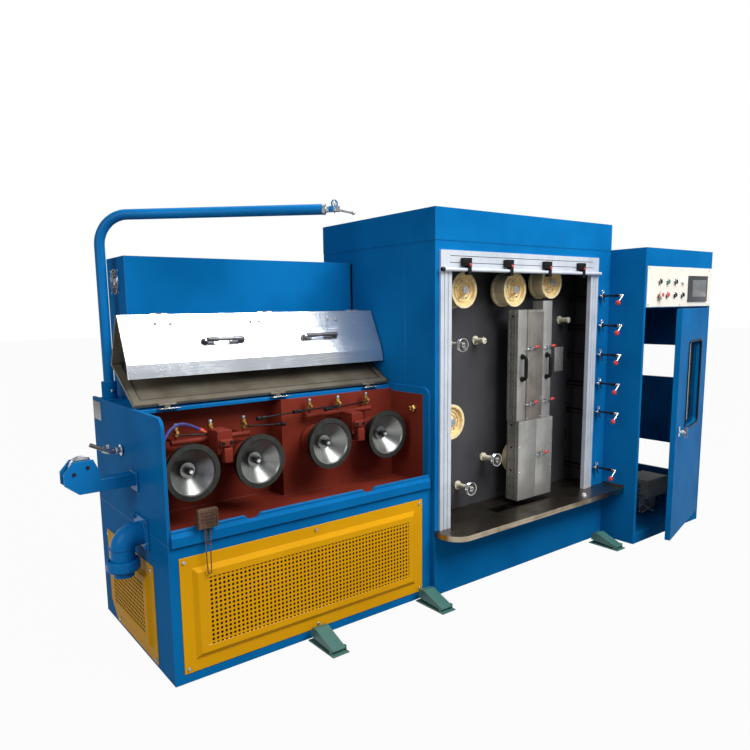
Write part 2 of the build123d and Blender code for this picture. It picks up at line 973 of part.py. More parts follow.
with BuildPart() as lid_tray:
    prism_x(
        (
            lid_start,
            lid_corner,
            lid_end,
            along(lid_end, front_outer_side, lid_thickness),
            along(lid_corner, corner_side, lid_thickness / cos(radians(half_turn))),
            along(lid_start, outer_side, lid_thickness),
        ),
        lid_left,
        lid_right,
    )
    prism_x(
        (
            along(pan_start, outer_side + 180, 1),
            along(lid_corner, corner_side + 180, 1),
            along(pan_end, front_outer_side + 180, 1),
            along(pan_end, front_outer_side, pan_depth),
            along(lid_corner, corner_side, pan_depth / cos(radians(half_turn))),
            along(pan_start, outer_side, pan_depth),
        ),
        lid_left + lid_lip,
        lid_right - lid_lip,
        mode=Mode.SUBTRACT,
    )
    hinge_knuckles(lid_axis, lid_hinge_stations, lid_open_angle, hinge_offset + moving_gap)
    for station in lid_hinge_stations:
        rod_x(
            dx(station) - 1.5 * hinge_width - 2,
            dx(station) + 1.5 * hinge_width + 2,
            lid_axis[0],
            lid_axis[1],
            hinge_pin_radius + bore_clearance,
            mode=Mode.SUBTRACT,
        )
    for station in flap_hinge_stations:
        low = dx(station) - hinge_width / 2
        high = dx(station) + hinge_width / 2
        root = along(flap_axis, lid_front_angle + 180, hinge_offset + moving_gap)
        rod_x(low, high, flap_axis[0], flap_axis[1], knuckle_radius)
        prism_x(
            (
                flap_axis,
                root,
                along(root, front_outer_side, lid_sheet),
                along(flap_axis, front_outer_side, lid_sheet),
            ),
            low,
            high,
        )
        rod_x(
            dx(station) - 1.5 * hinge_width,
            dx(station) + 1.5 * hinge_width,
            flap_axis[0],
            flap_axis[1],
            hinge_pin_radius,
        )
save(lid_tray, "lid_tray")

# Flap: a shallow pan with a bent lower lip and two bow handles on its outer face
flap_out = flap_angle - 90
flap_lip_out = flap_out + flap_lip_angle
flap_bend = along(flap_axis, flap_angle, flap_length - flap_lip)
flap_tip = along(flap_bend, flap_angle + flap_lip_angle, flap_lip)
flap_start = along(flap_axis, flap_angle, hinge_offset)
flap_hollow = flap_thickness - flap_sheet
hollow_start = along(flap_axis, flap_angle, hinge_offset + 2 * flap_sheet)
hollow_tip = along(flap_bend, flap_angle + flap_lip_angle, flap_lip - 2 * flap_sheet)
handle_root = along(
    along(flap_axis, flap_angle, flap_handle_drop), flap_out, flap_thickness - flap_sheet / 2
)

with BuildPart() as lid_flap:
    prism_x(
        (
            flap_start,
            flap_bend,
            flap_tip,
            along(flap_tip, flap_lip_out, flap_thickness),
            along(flap_bend, flap_out + flap_lip_angle / 2, flap_thickness),
            along(flap_start, flap_out, flap_thickness),
        ),
        lid_left,
        lid_right,
    )
    prism_x(
        (
            along(hollow_start, flap_out + 180, 1),
            along(flap_bend, flap_out + 180, 1),
            along(hollow_tip, flap_lip_out + 180, 1),
            along(hollow_tip, flap_lip_out, flap_hollow),
            along(flap_bend, flap_out + flap_lip_angle / 2, flap_hollow),
            along(hollow_start, flap_out, flap_hollow),
        ),
        lid_left + flap_sheet,
        lid_right - flap_sheet,
        mode=Mode.SUBTRACT,
    )
    hinge_knuckles(flap_axis, flap_hinge_stations, flap_angle, hinge_offset + 2 * flap_sheet + 1)
    for station in flap_hinge_stations:
        rod_x(
            dx(station) - 1.5 * hinge_width - 2,
            dx(station) + 1.5 * hinge_width + 2,
            flap_axis[0],
            flap_axis[1],
            hinge_pin_radius + bore_clearance,
            mode=Mode.SUBTRACT,
        )
    for station in flap_handle_stations:
        handle_plane = Plane(
            origin=(dx(station), handle_root[0], handle_root[1]),
            x_dir=(1, 0, 0),
            z_dir=(0, -sin(radians(flap_out)), cos(radians(flap_out))),
        )
        with BuildSketch(handle_plane):
            with BuildLine():
                Polyline(
                    (-handle_length / 2, 0),
                    (-handle_length / 2, handle_standoff),
                    (handle_length / 2, handle_standoff),
                    (handle_length / 2, 0),
                    (handle_length / 2 - handle_bar, 0),
                    (handle_length / 2 - handle_bar, handle_standoff - handle_bar),
                    (handle_bar - handle_length / 2, handle_standoff - handle_bar),
                    (handle_bar - handle_length / 2, 0),
                    close=True,
                )
            make_face()
        extrude(amount=handle_bar / 2, both=True)
save(lid_flap, "lid_flap")

# Payoff arm: a bent pipe that swings in its socket, with a clevis, guide ring and tip
arm_run = (cos(radians(arm_direction)), sin(radians(arm_direction)))
arm_foot = deck_top + socket_plate_thickness
arm_end = (dx(arm_x) + arm_reach * arm_run[0], dy(arm_y) + arm_reach * arm_run[1])


def on_arm(reach):
    """Plan position at a distance beyond the end of the payoff arm's pipe."""
    return (arm_end[0] + reach * arm_run[0], arm_end[1] + reach * arm_run[1])


with BuildPart() as arm_socket:
    block(
        dx(arm_x) - socket_plate / 4,
        dx(arm_x) + socket_plate / 2,
        dy(arm_y) - socket_plate / 2,
        dy(arm_y) + socket_plate / 2,
        deck_top,
        arm_foot,
    )
    rod_z(dx(arm_x), dy(arm_y), arm_foot, arm_foot + socket_height, socket_radius)
    rod_z(
        dx(arm_x),
        dy(arm_y),
        arm_foot,
        arm_foot + socket_height,
        arm_radius + bore_clearance,
        mode=Mode.SUBTRACT,
    )
save(arm_socket, "arm_socket")

arm_plane = Plane(
    origin=(dx(arm_x), dy(arm_y), 0),
    x_dir=(arm_run[0], arm_run[1], 0),
    z_dir=(arm_run[1], -arm_run[0], 0),
)
with BuildPart() as payoff_arm:
    with BuildLine(arm_plane):
        upright = Line((0, arm_foot), (0, arm_height - arm_bend))
        elbow = TangentArc(upright @ 1, (arm_bend, arm_height), tangent=upright % 1)
        Line(elbow @ 1, (arm_reach, arm_height))
    with BuildSketch(Plane((dx(arm_x), dy(arm_y), arm_foot))):
        Circle(arm_radius)
    sweep()
    with Locations(Location((*on_arm(neck_length / 2), arm_height), (90, 0, 90 + arm_direction))):
        Cylinder(neck_radius, neck_length)
    with Locations(Location((*on_arm(neck_length), arm_height), (0, 0, arm_direction))):
        Box(neck_length, 2 * neck_radius, 2 * neck_radius - ring_wire)
    ring_centre = (*on_arm(neck_length), arm_height + ring_rise)
    with Locations(Location(ring_centre, (90, 0, 90 + arm_direction))):
        Torus(ring_radius - ring_wire, ring_wire)
    with BuildSketch(arm_plane.offset(-ring_wire)):
        with BuildLine():
            Polyline(
                (arm_reach + neck_length, arm_height + ring_wire),
                (arm_reach + tip_reach, arm_height - tip_drop + ring_wire),
                (arm_reach + tip_reach, arm_height - tip_drop - ring_wire),
                (arm_reach + neck_length, arm_height - ring_wire),
                close=True,
            )
        make_face()
    extrude(amount=2 * ring_wire)
    with Locations((*on_arm(tip_reach), arm_height - tip_drop)):
        Sphere(tip_ball_radius)
save(payoff_arm, "payoff_arm")

# Wire inlet on the left wall: a box arm with two cheeks that carry a roller
with BuildPart() as inlet_arm:
    cheek_root = roller_x + roller_radius + 2 * moving_gap
    block(
        drawing_left - inlet_flange_thickness,
        drawing_left,
        dy(inlet_y) - inlet_width / 2 - moving_gap,
        dy(inlet_y) + inlet_width / 2 + moving_gap,
        inlet_low - inlet_flange / 4,
        inlet_high + moving_gap,
    )
    block(
        drawing_left + cheek_root,
        drawing_left - inlet_flange_thickness,
        dy(inlet_y) - inlet_width / 2,
        dy(inlet_y) + inlet_width / 2,
        inlet_low,
        inlet_high,
    )
    for side in (-1, 1):
        outer_y = dy(inlet_y) + side * inlet_width / 2
        inner_y = outer_y - side * cheek_thickness
        prism_y(
            (
                (drawing_left + cheek_root + cheek_thickness, inlet_low),
                (drawing_left - inlet_reach + cheek_foot, inlet_low),
                (drawing_left - inlet_reach, inlet_low + cheek_corner),
                (drawing_left - inlet_reach, cheek_top - cheek_corner),
                (drawing_left - inlet_reach + cheek_nose, cheek_top),
                (drawing_left + cheek_root - cheek_nose / 2, cheek_top),
                (drawing_left + cheek_root, cheek_top - cheek_corner),
                (drawing_left + cheek_root + cheek_thickness, inlet_high),
            ),
            min(outer_y, inner_y),
            max(outer_y, inner_y),
        )
    rod_y(
        drawing_left + roller_x,
        dy(inlet_y) - inlet_width / 2,
        dy(inlet_y) + inlet_width / 2,
        roller_z - roller_pin_radius,
        roller_pin_radius,
    )
save(inlet_arm, "inlet_arm")

roller_axis_z = roller_z - roller_pin_radius
with BuildPart() as inlet_roller:
    groove = roller_width / 4
    inlet_roller_plane = Plane(
        origin=(drawing_left + roller_x, dy(inlet_y), roller_axis_z),
        x_dir=(1, 0, 0),
        z_dir=(0, 0, 1),
    )
    with BuildSketch(inlet_roller_plane):
        with BuildLine():
            Polyline(
                (roller_pin_radius + bore_clearance, -roller_width / 2),
                (roller_radius, -roller_width / 2),
                (roller_radius, -groove),
                (roller_radius - groove, 0),
                (roller_radius, groove),
                (roller_radius, roller_width / 2),
                (roller_pin_radius + bore_clearance, roller_width / 2),
                close=True,
            )
        make_face()
    revolve(axis=Axis(inlet_roller_plane.origin, (0, 1, 0)))
save(inlet_roller, "inlet_roller")

# Drain elbow on the left wall: a round elbow on a flange, a collar and an open stub
with BuildPart() as drain_elbow:
    block(
        drawing_left - inlet_flange_thickness,
        drawing_left,
        dy(drain_y) - drain_flange_width / 2,
        dy(drain_y) + drain_flange_width / 2,
        drain_flange_z - drain_flange_height / 2,
        drain_flange_z + drain_flange_height / 2,
    )
    drain_x = drawing_left + drain_pipe_x
    pipe_top = drain_flange_z - moving_gap
    bend_x = drain_x + drain_bend
    bend_z = pipe_top - drain_bend
    rod_x(bend_x, drawing_left - inlet_flange_thickness, dy(drain_y), pipe_top, drain_pipe_radius)
    with BuildSketch(Plane.YZ.offset(bend_x)) as bend_ring:
        with Locations((dy(drain_y), pipe_top)):
            Circle(drain_pipe_radius)
    revolve(
        bend_ring.sketch,
        axis=Axis((bend_x, dy(drain_y), bend_z), (0, -1, 0)),
        revolution_arc=90,
    )
    rod_z(drain_x, dy(drain_y), drain_collar_z, bend_z, drain_pipe_radius)
    rod_z(
        drain_x,
        dy(drain_y),
        drain_collar_z,
        drain_collar_z + drain_collar_height,
        drain_collar_radius,
    )
    rod_z(drain_x, dy(drain_y), drain_bottom, drain_collar_z, drain_stub_radius)
    rod_z(
        drain_x,
        dy(drain_y),
        drain_bottom,
        bend_z,
        drain_stub_radius - moving_gap,
        mode=Mode.SUBTRACT,
    )
save(drain_elbow, "drain_elbow")

# Small valve on the left wall: flange, elbow with its cap, and a tube that rises outwards
with BuildPart() as ball_valve:
    rod_x(
        drawing_left - inlet_flange_thickness,
        drawing_left,
        dy(valve_y),
        valve_z,
        2 * valve_pipe_radius,
    )
    rod_x(
        drawing_left - valve_pipe_reach,
        drawing_left - inlet_flange_thickness,
        dy(valve_y),
        valve_z,
        valve_pipe_radius,
    )
    elbow_x = drawing_left - valve_pipe_reach
    with Locations((elbow_x, dy(valve_y), valve_z)):
        Sphere(valve_pipe_radius * 1.2)
    rod_z(elbow_x, dy(valve_y), valve_z, valve_z + valve_cap_rise, valve_cap_radius)
    tube_run = valve_tube_length * cos(radians(valve_tube_rise)) / 2
    tube_lift = valve_tube_length * sin(radians(valve_tube_rise)) / 2
    with Locations(
        Location(
            (elbow_x - tube_run, dy(valve_y), valve_z + tube_lift),
            (0, valve_tube_rise - 90, 0),
        )
    ):
        Cylinder(valve_tube_radius, valve_tube_length)
save(ball_valve, "ball_valve")

# Pulling clamp that hangs on the front rail by its hook, with a wire loop below
clamp_face = drawing_front - rail_proud
with BuildPart() as pulling_clamp:
    block(
        dx(clamp_x) - clamp_width / 2,
        dx(clamp_x) + clamp_width / 2,
        clamp_face - clamp_depth,
        clamp_face,
        rail_shoulder + clamp_lift,
        rail_top + clamp_height * 3 / 4,
    )
    block(
        dx(clamp_x) - clamp_width / 2,
        dx(clamp_x) + clamp_width / 2,
        clamp_face,
        drawing_front + rail_wall + clamp_depth / 3,
        rail_top,
        rail_top + clamp_depth / 2,
    )
    block(
        dx(clamp_x) - clamp_width / 2,
        dx(clamp_x) + clamp_width / 2,
        drawing_front + rail_wall,
        drawing_front + rail_wall + clamp_depth / 3,
        floor_top + moving_gap,
        rail_top,
    )
    loop_plane = Plane.XZ.offset(-clamp_face + clamp_depth / 2)
    with BuildLine(loop_plane):
        strand = Line(
            (dx(clamp_x) - clamp_width / 5, rail_shoulder + clamp_lift + moving_gap),
            (dx(clamp_x) - clamp_width / 5, rail_shoulder - loop_drop),
        )
        bow = TangentArc(
            strand @ 1,
            (dx(clamp_x) + clamp_width / 5, rail_shoulder - loop_drop),
            tangent=strand % 1,
        )
        Line(bow @ 1, (dx(clamp_x) + clamp_width / 5, rail_shoulder + clamp_lift + moving_gap))
    with BuildSketch(
        Plane(
            (
                dx(clamp_x) - clamp_width / 5,
                clamp_face - clamp_depth / 2,
                rail_shoulder + clamp_lift + moving_gap,
            )
        )
    ):
        Circle(loop_radius)
    sweep()
save(pulling_clamp, "pulling_clamp")

# Tower: base, solid housing behind the compartment, and hood
core_front = ty(compartment_depth + compartment_skin)
slot_heights = [spindle_top - number * spindle_pitch for number in range(spindle_slots)]
spindle_heights = [height for number, height in enumerate(slot_heights) if number != empty_slot]

with BuildPart() as tower_housing:
    block(tower_left, tower_right, tower_front, tower_back, 0, skirt_height)
    block(
        tower_left,
        tower_right,
        core_front,
        tower_back,
        skirt_height,
        tower_height - hood_height,
    )
    block(
        tx(spindle_x) - pocket_half,
        tx(spindle_x) + pocket_half,
        core_front,
        core_front + pocket_depth,
        slot_heights[-1] - slot_height,
        slot_heights[0] + slot_height,
        mode=Mode.SUBTRACT,
    )
    for spindle_z in spindle_heights:
        rod_y(
            tx(spindle_x),
            core_front + pocket_depth,
            core_front + pocket_depth + bush_length,
            spindle_z,
            spindle_radius + bore_clearance,
            mode=Mode.SUBTRACT,
        )
save(tower_housing, "tower_housing")

with BuildPart() as tower_hood:
    block(
        tower_left - hood_proud,
        tower_right,
        tower_front - hood_proud,
        tower_back,
        tower_height - hood_height,
        tower_height,
    )
save(tower_hood, "tower_hood")

# Drip tray: compartment floor, a front apron with one round corner and a turned-up end
with BuildPart() as drip_tray:
    tray_front = tower_front - tray_proud
    tray_bottom = skirt_height + tray_sheet - tray_skirt
    with BuildSketch(Plane.XY.offset(tray_bottom)):
        with Locations((0, (tray_front + tower_front) / 2)):
            Rectangle(tower_width, tray_proud)
        fillet(vertices().sort_by(Axis.Y)[:2].sort_by(Axis.X)[0], tray_corner)
    extrude(amount=tray_skirt)
    with BuildSketch(Plane.XY.offset(tray_bottom)):
        with Locations((0, (tray_front + tower_front) / 2 + tray_sheet)):
            Rectangle(tower_width - 2 * tray_sheet, tray_proud)
        fillet(vertices().sort_by(Axis.Y)[:2].sort_by(Axis.X)[0], tray_corner - tray_sheet)
    extrude(amount=tray_skirt - tray_sheet, mode=Mode.SUBTRACT)
    block(
        tower_left,
        tower_right,
        tower_front,
        core_front,
        skirt_height,
        skirt_height + tray_sheet,
    )
    block(
        tower_right - tray_sheet,
        tower_right,
        tray_front,
        tower_front - strip_thickness,
        skirt_height + tray_sheet,
        skirt_height + tray_sheet + tray_end_lip,
    )
    rod_z(
        tx(tray_knob_x),
        tower_front - tray_knob_set_out,
        compartment_floor,
        compartment_floor + tray_knob_height,
        tray_knob_radius,
    )
save(drip_tray, "drip_tray")

# Portal round the compartment: left cheek, header, right cheek and spindle strip
with BuildPart() as tower_portal:
    block(tower_left, tx(left_cheek), tower_front, core_front, compartment_floor, hood_seam)
    block(
        tower_right - right_cheek,
        tower_right,
        tower_front,
        core_front,
        compartment_floor,
        hood_seam,
    )
    block(
        tx(left_cheek),
        tower_right - right_cheek,
        tower_front,
        core_front,
        header_bottom,
        hood_seam,
    )
    block(
        tower_right - right_strip,
        tower_right - right_cheek,
        tower_front,
        tower_front + strip_thickness,
        compartment_floor,
        header_bottom,
    )
    for spindle_z in spindle_heights:
        rod_y(
            tx(spindle_x),
            tower_front - bush_length / 2,
            tower_front + bush_length,
            spindle_z,
            bush_radius,
        )
        rod_y(
            tx(spindle_x),
            tower_front - bush_length / 2,
            tower_front + bush_length,
            spindle_z,
            spindle_radius + bore_clearance,
            mode=Mode.SUBTRACT,
        )
save(tower_portal, "tower_portal")

# Dark back plate of the compartment with its column of spindle slots, and a return on each side
with BuildPart() as compartment_back:
    block(
        tx(left_cheek),
        tower_right - right_cheek,
        ty(compartment_depth),
        core_front,
        compartment_floor,
        header_bottom,
    )
    with Locations(
        [(tx(spindle_x), core_front - compartment_skin / 2, height) for height in slot_heights]
    ):
        Box(slot_width, compartment_skin, slot_height, mode=Mode.SUBTRACT)
    for return_x in (tx(left_cheek), tower_right - right_cheek - return_sheet):
        block(
            return_x,
            return_x + return_sheet,
            ty(post_depth - post_proud),
            ty(compartment_depth),
            compartment_floor,
            header_bottom,
        )
save(compartment_back, "compartment_back")

# Aluminium frame of the compartment's front
with BuildPart() as aluminium_frame:
    frame_front = tower_front - post_proud
    frame_rear = frame_front + post_depth
    posts = (
        (tx(left_cheek), tx(left_cheek) + post_width),
        (tower_right - right_strip - post_width, tower_right - right_strip),
    )
    for post_left, post_right in posts:
        block(post_left, post_right, frame_front, frame_rear, compartment_floor, header_bottom)
        for groove_x in (post_left + post_width / 3, post_right - post_width / 3):
            block(
                groove_x - groove_width / 2,
                groove_x + groove_width / 2,
                frame_front,
                frame_front + groove_depth,
                compartment_floor,
                header_bottom - beam_height,
                mode=Mode.SUBTRACT,
            )
    block(
        posts[0][1],
        posts[1][0],
        frame_front,
        frame_rear,
        header_bottom - beam_height,
        header_bottom,
    )
save(aluminium_frame, "aluminium_frame")

# Round bar along the top of the frame, and the four clamps that hold it
with BuildPart() as wiper_bar:
    rod_x(tx(bar_left), tower_right - bar_right, tower_front - bar_proud, bar_z, bar_radius)
save(wiper_bar, "wiper_bar")

with BuildPart() as bar_clamps:
    with Locations(
        [
            (
                tx(station),
                tower_front - post_proud - bar_clamp_depth / 2,
                bar_z + bar_clamp_height / 3,
            )
            for station in bar_clamp_stations
        ]
    ):
        Box(bar_clamp_width, bar_clamp_depth, 1.8 * bar_clamp_height)
    rod_x(
        tx(bar_left),
        tower_right - bar_right,
        tower_front - bar_proud,
        bar_z,
        bar_radius,
        mode=Mode.SUBTRACT,
    )
save(bar_clamps, "bar_clamps")


def contact_wheel(station, width):
    """Grooved contact wheel with a dished face, a hub and the shaft that runs in its boss."""
    wheel_x, wheel_z = station
    back = ty(compartment_depth - wheel_standoff)
    front = back - width
    shaft_end = ty(compartment_depth - wheel_boss_length) + wheel_shaft_engagement
    wheel_plane = Plane(origin=(tx(wheel_x), 0, wheel_z), x_dir=(1, 0, 0), z_dir=(0, 0, 1))
    with BuildPart() as wheel:
        with BuildSketch(wheel_plane):
            with BuildLine():
                Polyline(
                    (0, front - width / 12),
                    (wheel_radius * 0.2, front - width / 12),
                    (wheel_radius * 0.26, front),
                    (wheel_radius * 0.3, front + width / 6),
                    (wheel_radius * 0.78, front + width / 6),
                    (wheel_radius * 0.84, front),
                    (wheel_radius, front),
                    (wheel_radius, front + width / 8),
                    (wheel_radius * 0.93, front + width / 5),
                    (wheel_radius * 0.93, back - width / 5),
                    (wheel_radius, back - width / 8),
                    (wheel_radius, back),
                    (wheel_shaft_radius, back),
                    (wheel_shaft_radius, shaft_end),
                    (0, shaft_end),
                    close=True,
                )
            make_face()
        revolve(axis=Axis((tx(wheel_x), 0, wheel_z), (0, 1, 0)))
    return wheel


wheel_stations = contact_wheels + lower_wheels
wheel_widths = (wheel_width,) * (len(wheel_stations) - 1) + (wheel_width / 2,)
for number, station in enumerate(wheel_stations, start=1):
    save(contact_wheel(station, wheel_widths[number - 1]), f"contact_wheel_{number}")

# Bosses, idler hubs and disc posts on the compartment's back plate
with BuildPart() as compartment_posts:
    for boss_x, boss_z in wheel_stations:
        rod_y(
            tx(boss_x),
            ty(compartment_depth - wheel_boss_length),
            ty(compartment_depth),
            boss_z,
            wheel_boss_radius,
        )
        rod_y(
            tx(boss_x),
            ty(compartment_depth - wheel_boss_length),
            ty(compartment_depth - wheel_boss_length) + wheel_shaft_engagement + 2,
            boss_z,
            wheel_shaft_radius + bore_clearance,
            mode=Mode.SUBTRACT,
        )
    for post_x, post_z in post_stations + disc_stations:
        is_disc = (post_x, post_z) in disc_stations
        length = disc_post_length if is_disc else post_length
        rod_y(
            tx(post_x),
            ty(compartment_depth - post_flange_thickness),
            ty(compartment_depth),
            post_z,
            post_flange_radius,
        )
        rod_y(
            tx(post_x),
            ty(compartment_depth - length),
            ty(compartment_depth - post_flange_thickness),
            post_z,
            post_body_radius,
        )
        if is_disc:
            pin_end = length + disc_pin_length + disc_width
            rod_y(
                tx(post_x),
                ty(compartment_depth - pin_end),
                ty(compartment_depth - length),
                post_z,
                disc_pin_radius,
            )
        else:
            rod_y(
                tx(post_x),
                ty(compartment_depth - length - post_cap_length),
                ty(compartment_depth - length),
                post_z,
                post_cap_radius,
            )
save(compartment_posts, "compartment_posts")


def guide_disc(station):
    """Grooved guide disc that turns on the pin of its post."""
    disc_x, disc_z = station
    middle = ty(compartment_depth - disc_post_length - disc_pin_length / 2 - disc_width / 2)
    bore = disc_pin_radius + bore_clearance
    disc_plane = Plane(origin=(tx(disc_x), middle, disc_z), x_dir=(1, 0, 0), z_dir=(0, 0, 1))
    with BuildPart() as disc:
        with BuildSketch(disc_plane):
            with BuildLine():
                Polyline(
                    (bore, -disc_width / 2),
                    (disc_radius, -disc_width / 2),
                    (disc_radius, -disc_width / 3),
                    (disc_radius - disc_width / 3, 0),
                    (disc_radius, disc_width / 3),
                    (disc_radius, disc_width / 2),
                    (bore, disc_width / 2),
                    close=True,
                )
            make_face()
        revolve(axis=Axis(disc_plane.origin, (0, 1, 0)))
    return disc


for number, station in enumerate(disc_stations, start=1):
    save(guide_disc(station), f"guide_disc_{number}")

# Annealing tube box on short stand-offs, with raised covers
with BuildPart() as anneal_box:
    box_rear = ty(box_front + box_depth)
    box_mid_left = tx(box_left + box_strip_left)
    box_mid_right = tx(box_left + box_width - box_strip_right)
    block(
        tx(box_left),
        tx(box_left + box_width),
        ty(box_front + box_cover_rise),
        box_rear,
        box_split,
        box_top,
    )
    block(box_mid_left, box_mid_right, ty(box_front), box_rear, box_split, box_top)
    block(
        box_mid_right,
        tx(box_left + box_width),
        ty(box_front + box_cover_rise),
        box_rear,
        box_split,
        box_right_top,
    )
    block(
        tx(box_left + box_cover_rise),
        tx(box_left + box_width + 2 * box_cover_rise),
        ty(box_front - box_lower_rise + box_cover_rise),
        box_rear,
        box_bottom,
        box_split,
    )
    standoff_heights = (
        box_bottom + box_standoff_low,
        box_split + box_standoff_middle,
        box_top - box_standoff_high,
    )
    for standoff_z in standoff_heights:
        rod_y(
            tx(box_left + box_width / 2),
            box_rear,
            ty(compartment_depth),
            standoff_z,
            box_standoff_radius,
        )
save(anneal_box, "anneal_box")

# Bow handles and toggle clamps on the annealing box covers
with BuildPart() as cover_clamps:
    for handle_x in (tx(box_left + box_strip_left / 2), tx(box_left + box_width - box_strip_right / 2)):
        face = ty(box_front + box_cover_rise)
        block(
            handle_x - handle_bar / 2,
            handle_x + handle_bar / 2,
            face - handle_standoff,
            face - handle_standoff + handle_bar,
            cover_handle_z - cover_handle_length / 2,
            cover_handle_z + cover_handle_length / 2,
        )
        for foot in (-1, 1):
            foot_z = cover_handle_z + foot * (cover_handle_length - handle_bar) / 2
            block(
                handle_x - handle_bar / 2,
                handle_x + handle_bar / 2,
                face - handle_standoff + handle_bar,
                face,
                foot_z - handle_bar / 2,
                foot_z + handle_bar / 2,
            )
    for toggle_x, toggle_z in toggle_stations:
        below = toggle_z < box_split
        over_middle = box_strip_left < toggle_x < box_width - box_strip_right
        face = ty(box_front)
        if below:
            face = ty(box_front - box_lower_rise + box_cover_rise)
        elif not over_middle:
            face = ty(box_front + box_cover_rise)
        block(
            tx(box_left + toggle_x) - toggle_plate_width / 2,
            tx(box_left + toggle_x) + toggle_plate_width / 2,
            face - toggle_plate_thickness,
            face,
            toggle_z - toggle_plate_height / 2,
            toggle_z + toggle_plate_height / 2,
        )
        rod_x(
            tx(box_left + toggle_x) - toggle_grip_length / 2,
            tx(box_left + toggle_x) + toggle_grip_length / 2,
            face - 2 * toggle_grip_radius,
            toggle_z,
            toggle_grip_radius,
        )
save(cover_clamps, "cover_clamps")


def crank(spindle_z):
    """Crank: a spindle that runs in its bush, a flat arm and a ball knob."""
    front = tower_front - spindle_front
    knob_x = tx(spindle_x) + crank_radius * cos(radians(crank_angle))
    knob_z = spindle_z + crank_radius * sin(radians(crank_angle))
    with BuildPart() as handle:
        rod_y(
            tx(spindle_x),
            front,
            core_front + pocket_depth + bush_length - spindle_end_gap,
            spindle_z,
            spindle_radius,
        )
        rod_y(
            tx(spindle_x),
            front,
            front + 2 * crank_bar,
            spindle_z,
            crank_bar,
        )
        with BuildSketch(Plane.XZ.offset(-front - crank_thickness)) as arm_outline:
            with Locations(
                Location(
                    ((tx(spindle_x) + knob_x) / 2, (spindle_z + knob_z) / 2, 0),
                    (0, 0, crank_angle),
                )
            ):
                SlotCenterToCenter(crank_radius, 1.4 * crank_bar)
        extrude(arm_outline.sketch, amount=crank_thickness)
        with Locations((knob_x, front - knob_seat * knob_radius, knob_z)):
            Sphere(knob_radius)
    return handle


for number, spindle_z in enumerate(spindle_heights, start=1):
    save(crank(spindle_z), f"crank_{number}")

# Take-off cabinet: plinth, three walls, windows in the right one, and fixed door knuckles
door_hinge = (cabinet_right - door_hinge_inset, cabinet_front - door_outer_set)
knuckle_stations = (
    door_bottom + door_height / 12,
    (door_bottom + door_top) / 2,
    door_top - door_height / 12,
)
with BuildPart() as cabinet_shell:
    block(
        cabinet_left,
        cabinet_left + cabinet_wall,
        cabinet_front,
        cabinet_back,
        0,
        head_bottom,
    )
    block(
        cabinet_right - cabinet_wall,
        cabinet_right,
        cabinet_front,
        cabinet_back,
        0,
        head_bottom,
    )
    block(
        cabinet_left + cabinet_wall,
        cabinet_right - cabinet_wall,
        cabinet_back - cabinet_wall,
        cabinet_back,
        0,
        head_bottom,
    )
    for window_bottom, window_height in (
        (upper_window_bottom, upper_window_height),
        (lower_window_bottom, lower_window_height),
    ):
        block(
            cabinet_right - cabinet_wall,
            cabinet_right,
            cabinet_front + window_front,
            cabinet_front + window_front + window_width,
            window_bottom,
            window_bottom + window_height,
            mode=Mode.SUBTRACT,
        )
    for knuckle_z in knuckle_stations:
        low = knuckle_z - hinge_width / 2
        high = knuckle_z + hinge_width / 2
        block(
            door_hinge[0],
            cabinet_right - cabinet_wall / 2,
            cabinet_front - hinge_leaf,
            cabinet_front,
            low,
            high,
        )
        rod_z(door_hinge[0], door_hinge[1], low, high, knuckle_radius)
        rod_z(
            door_hinge[0],
            door_hinge[1],
            knuckle_z - 1.5 * hinge_width,
            knuckle_z + 1.5 * hinge_width,
            hinge_pin_radius,
        )
    block(
        cabinet_left + cabinet_wall,
        cabinet_right - cabinet_wall,
        cabinet_front,
        cabinet_back - cabinet_wall,
        0,
        plinth_height,
    )
save(cabinet_shell, "cabinet_shell")

with BuildPart() as cabinet_head:
    block(cabinet_left, cabinet_right, cabinet_front, cabinet_back, head_bottom, cabinet_height)
save(cabinet_head, "cabinet_head")

# Take-off drive in the cabinet: gear block on its foot, shaft and pulley
with BuildPart() as cabinet_drive:
    drive_right = cabinet_right - drive_inset_right
    drive_left = drive_right - drive_width
    drive_front = cabinet_front + drive_y
    shaft_end = drive_left - drive_shaft_length
    block(
        drive_left,
        drive_right,
        drive_front,
        drive_front + drive_depth,
        drive_bottom,
        drive_bottom + drive_height,
    )
    block(
        drive_left + drive_foot_inset,
        drive_right - drive_foot_inset,
        drive_front + drive_foot_inset,
        drive_front + drive_depth - drive_foot_inset,
        plinth_height,
        drive_bottom,
    )
    rod_x(shaft_end, drive_left, drive_front + drive_depth / 2, drive_shaft_z, drive_shaft_radius)
    rod_x(
        shaft_end,
        shaft_end + drive_pulley_width,
        drive_front + drive_depth / 2,
        drive_shaft_z,
        drive_pulley_radius,
    )
save(cabinet_drive, "cabinet_drive")

# Control panel with its screen, push buttons and mushroom button
with BuildPart() as control_panel:
    panel_face = cabinet_front - control_sheet
    block(
        cabinet_left + cabinet_wall,
        cabinet_right - control_inset_right,
        panel_face,
        cabinet_front,
        control_bottom,
        control_top,
    )
    block(
        cabinet_left + screen_left,
        cabinet_left + screen_left + screen_width,
        panel_face - screen_rise,
        panel_face,
        screen_bottom,
        screen_bottom + screen_height,
    )
    for station in button_stations:
        for row in (button_row_top, button_row_bottom):
            button_x = cabinet_left + station
            rod_y(
                button_x,
                panel_face - button_collar,
                panel_face,
                row,
                button_radius + button_collar,
            )
            rod_y(button_x, panel_face - button_length, panel_face, row, button_radius)
    rod_y(
        cabinet_left + button_stations[0],
        panel_face - 2 * button_length,
        panel_face - button_length,
        button_row_bottom,
        mushroom_radius,
    )
save(control_panel, "control_panel")

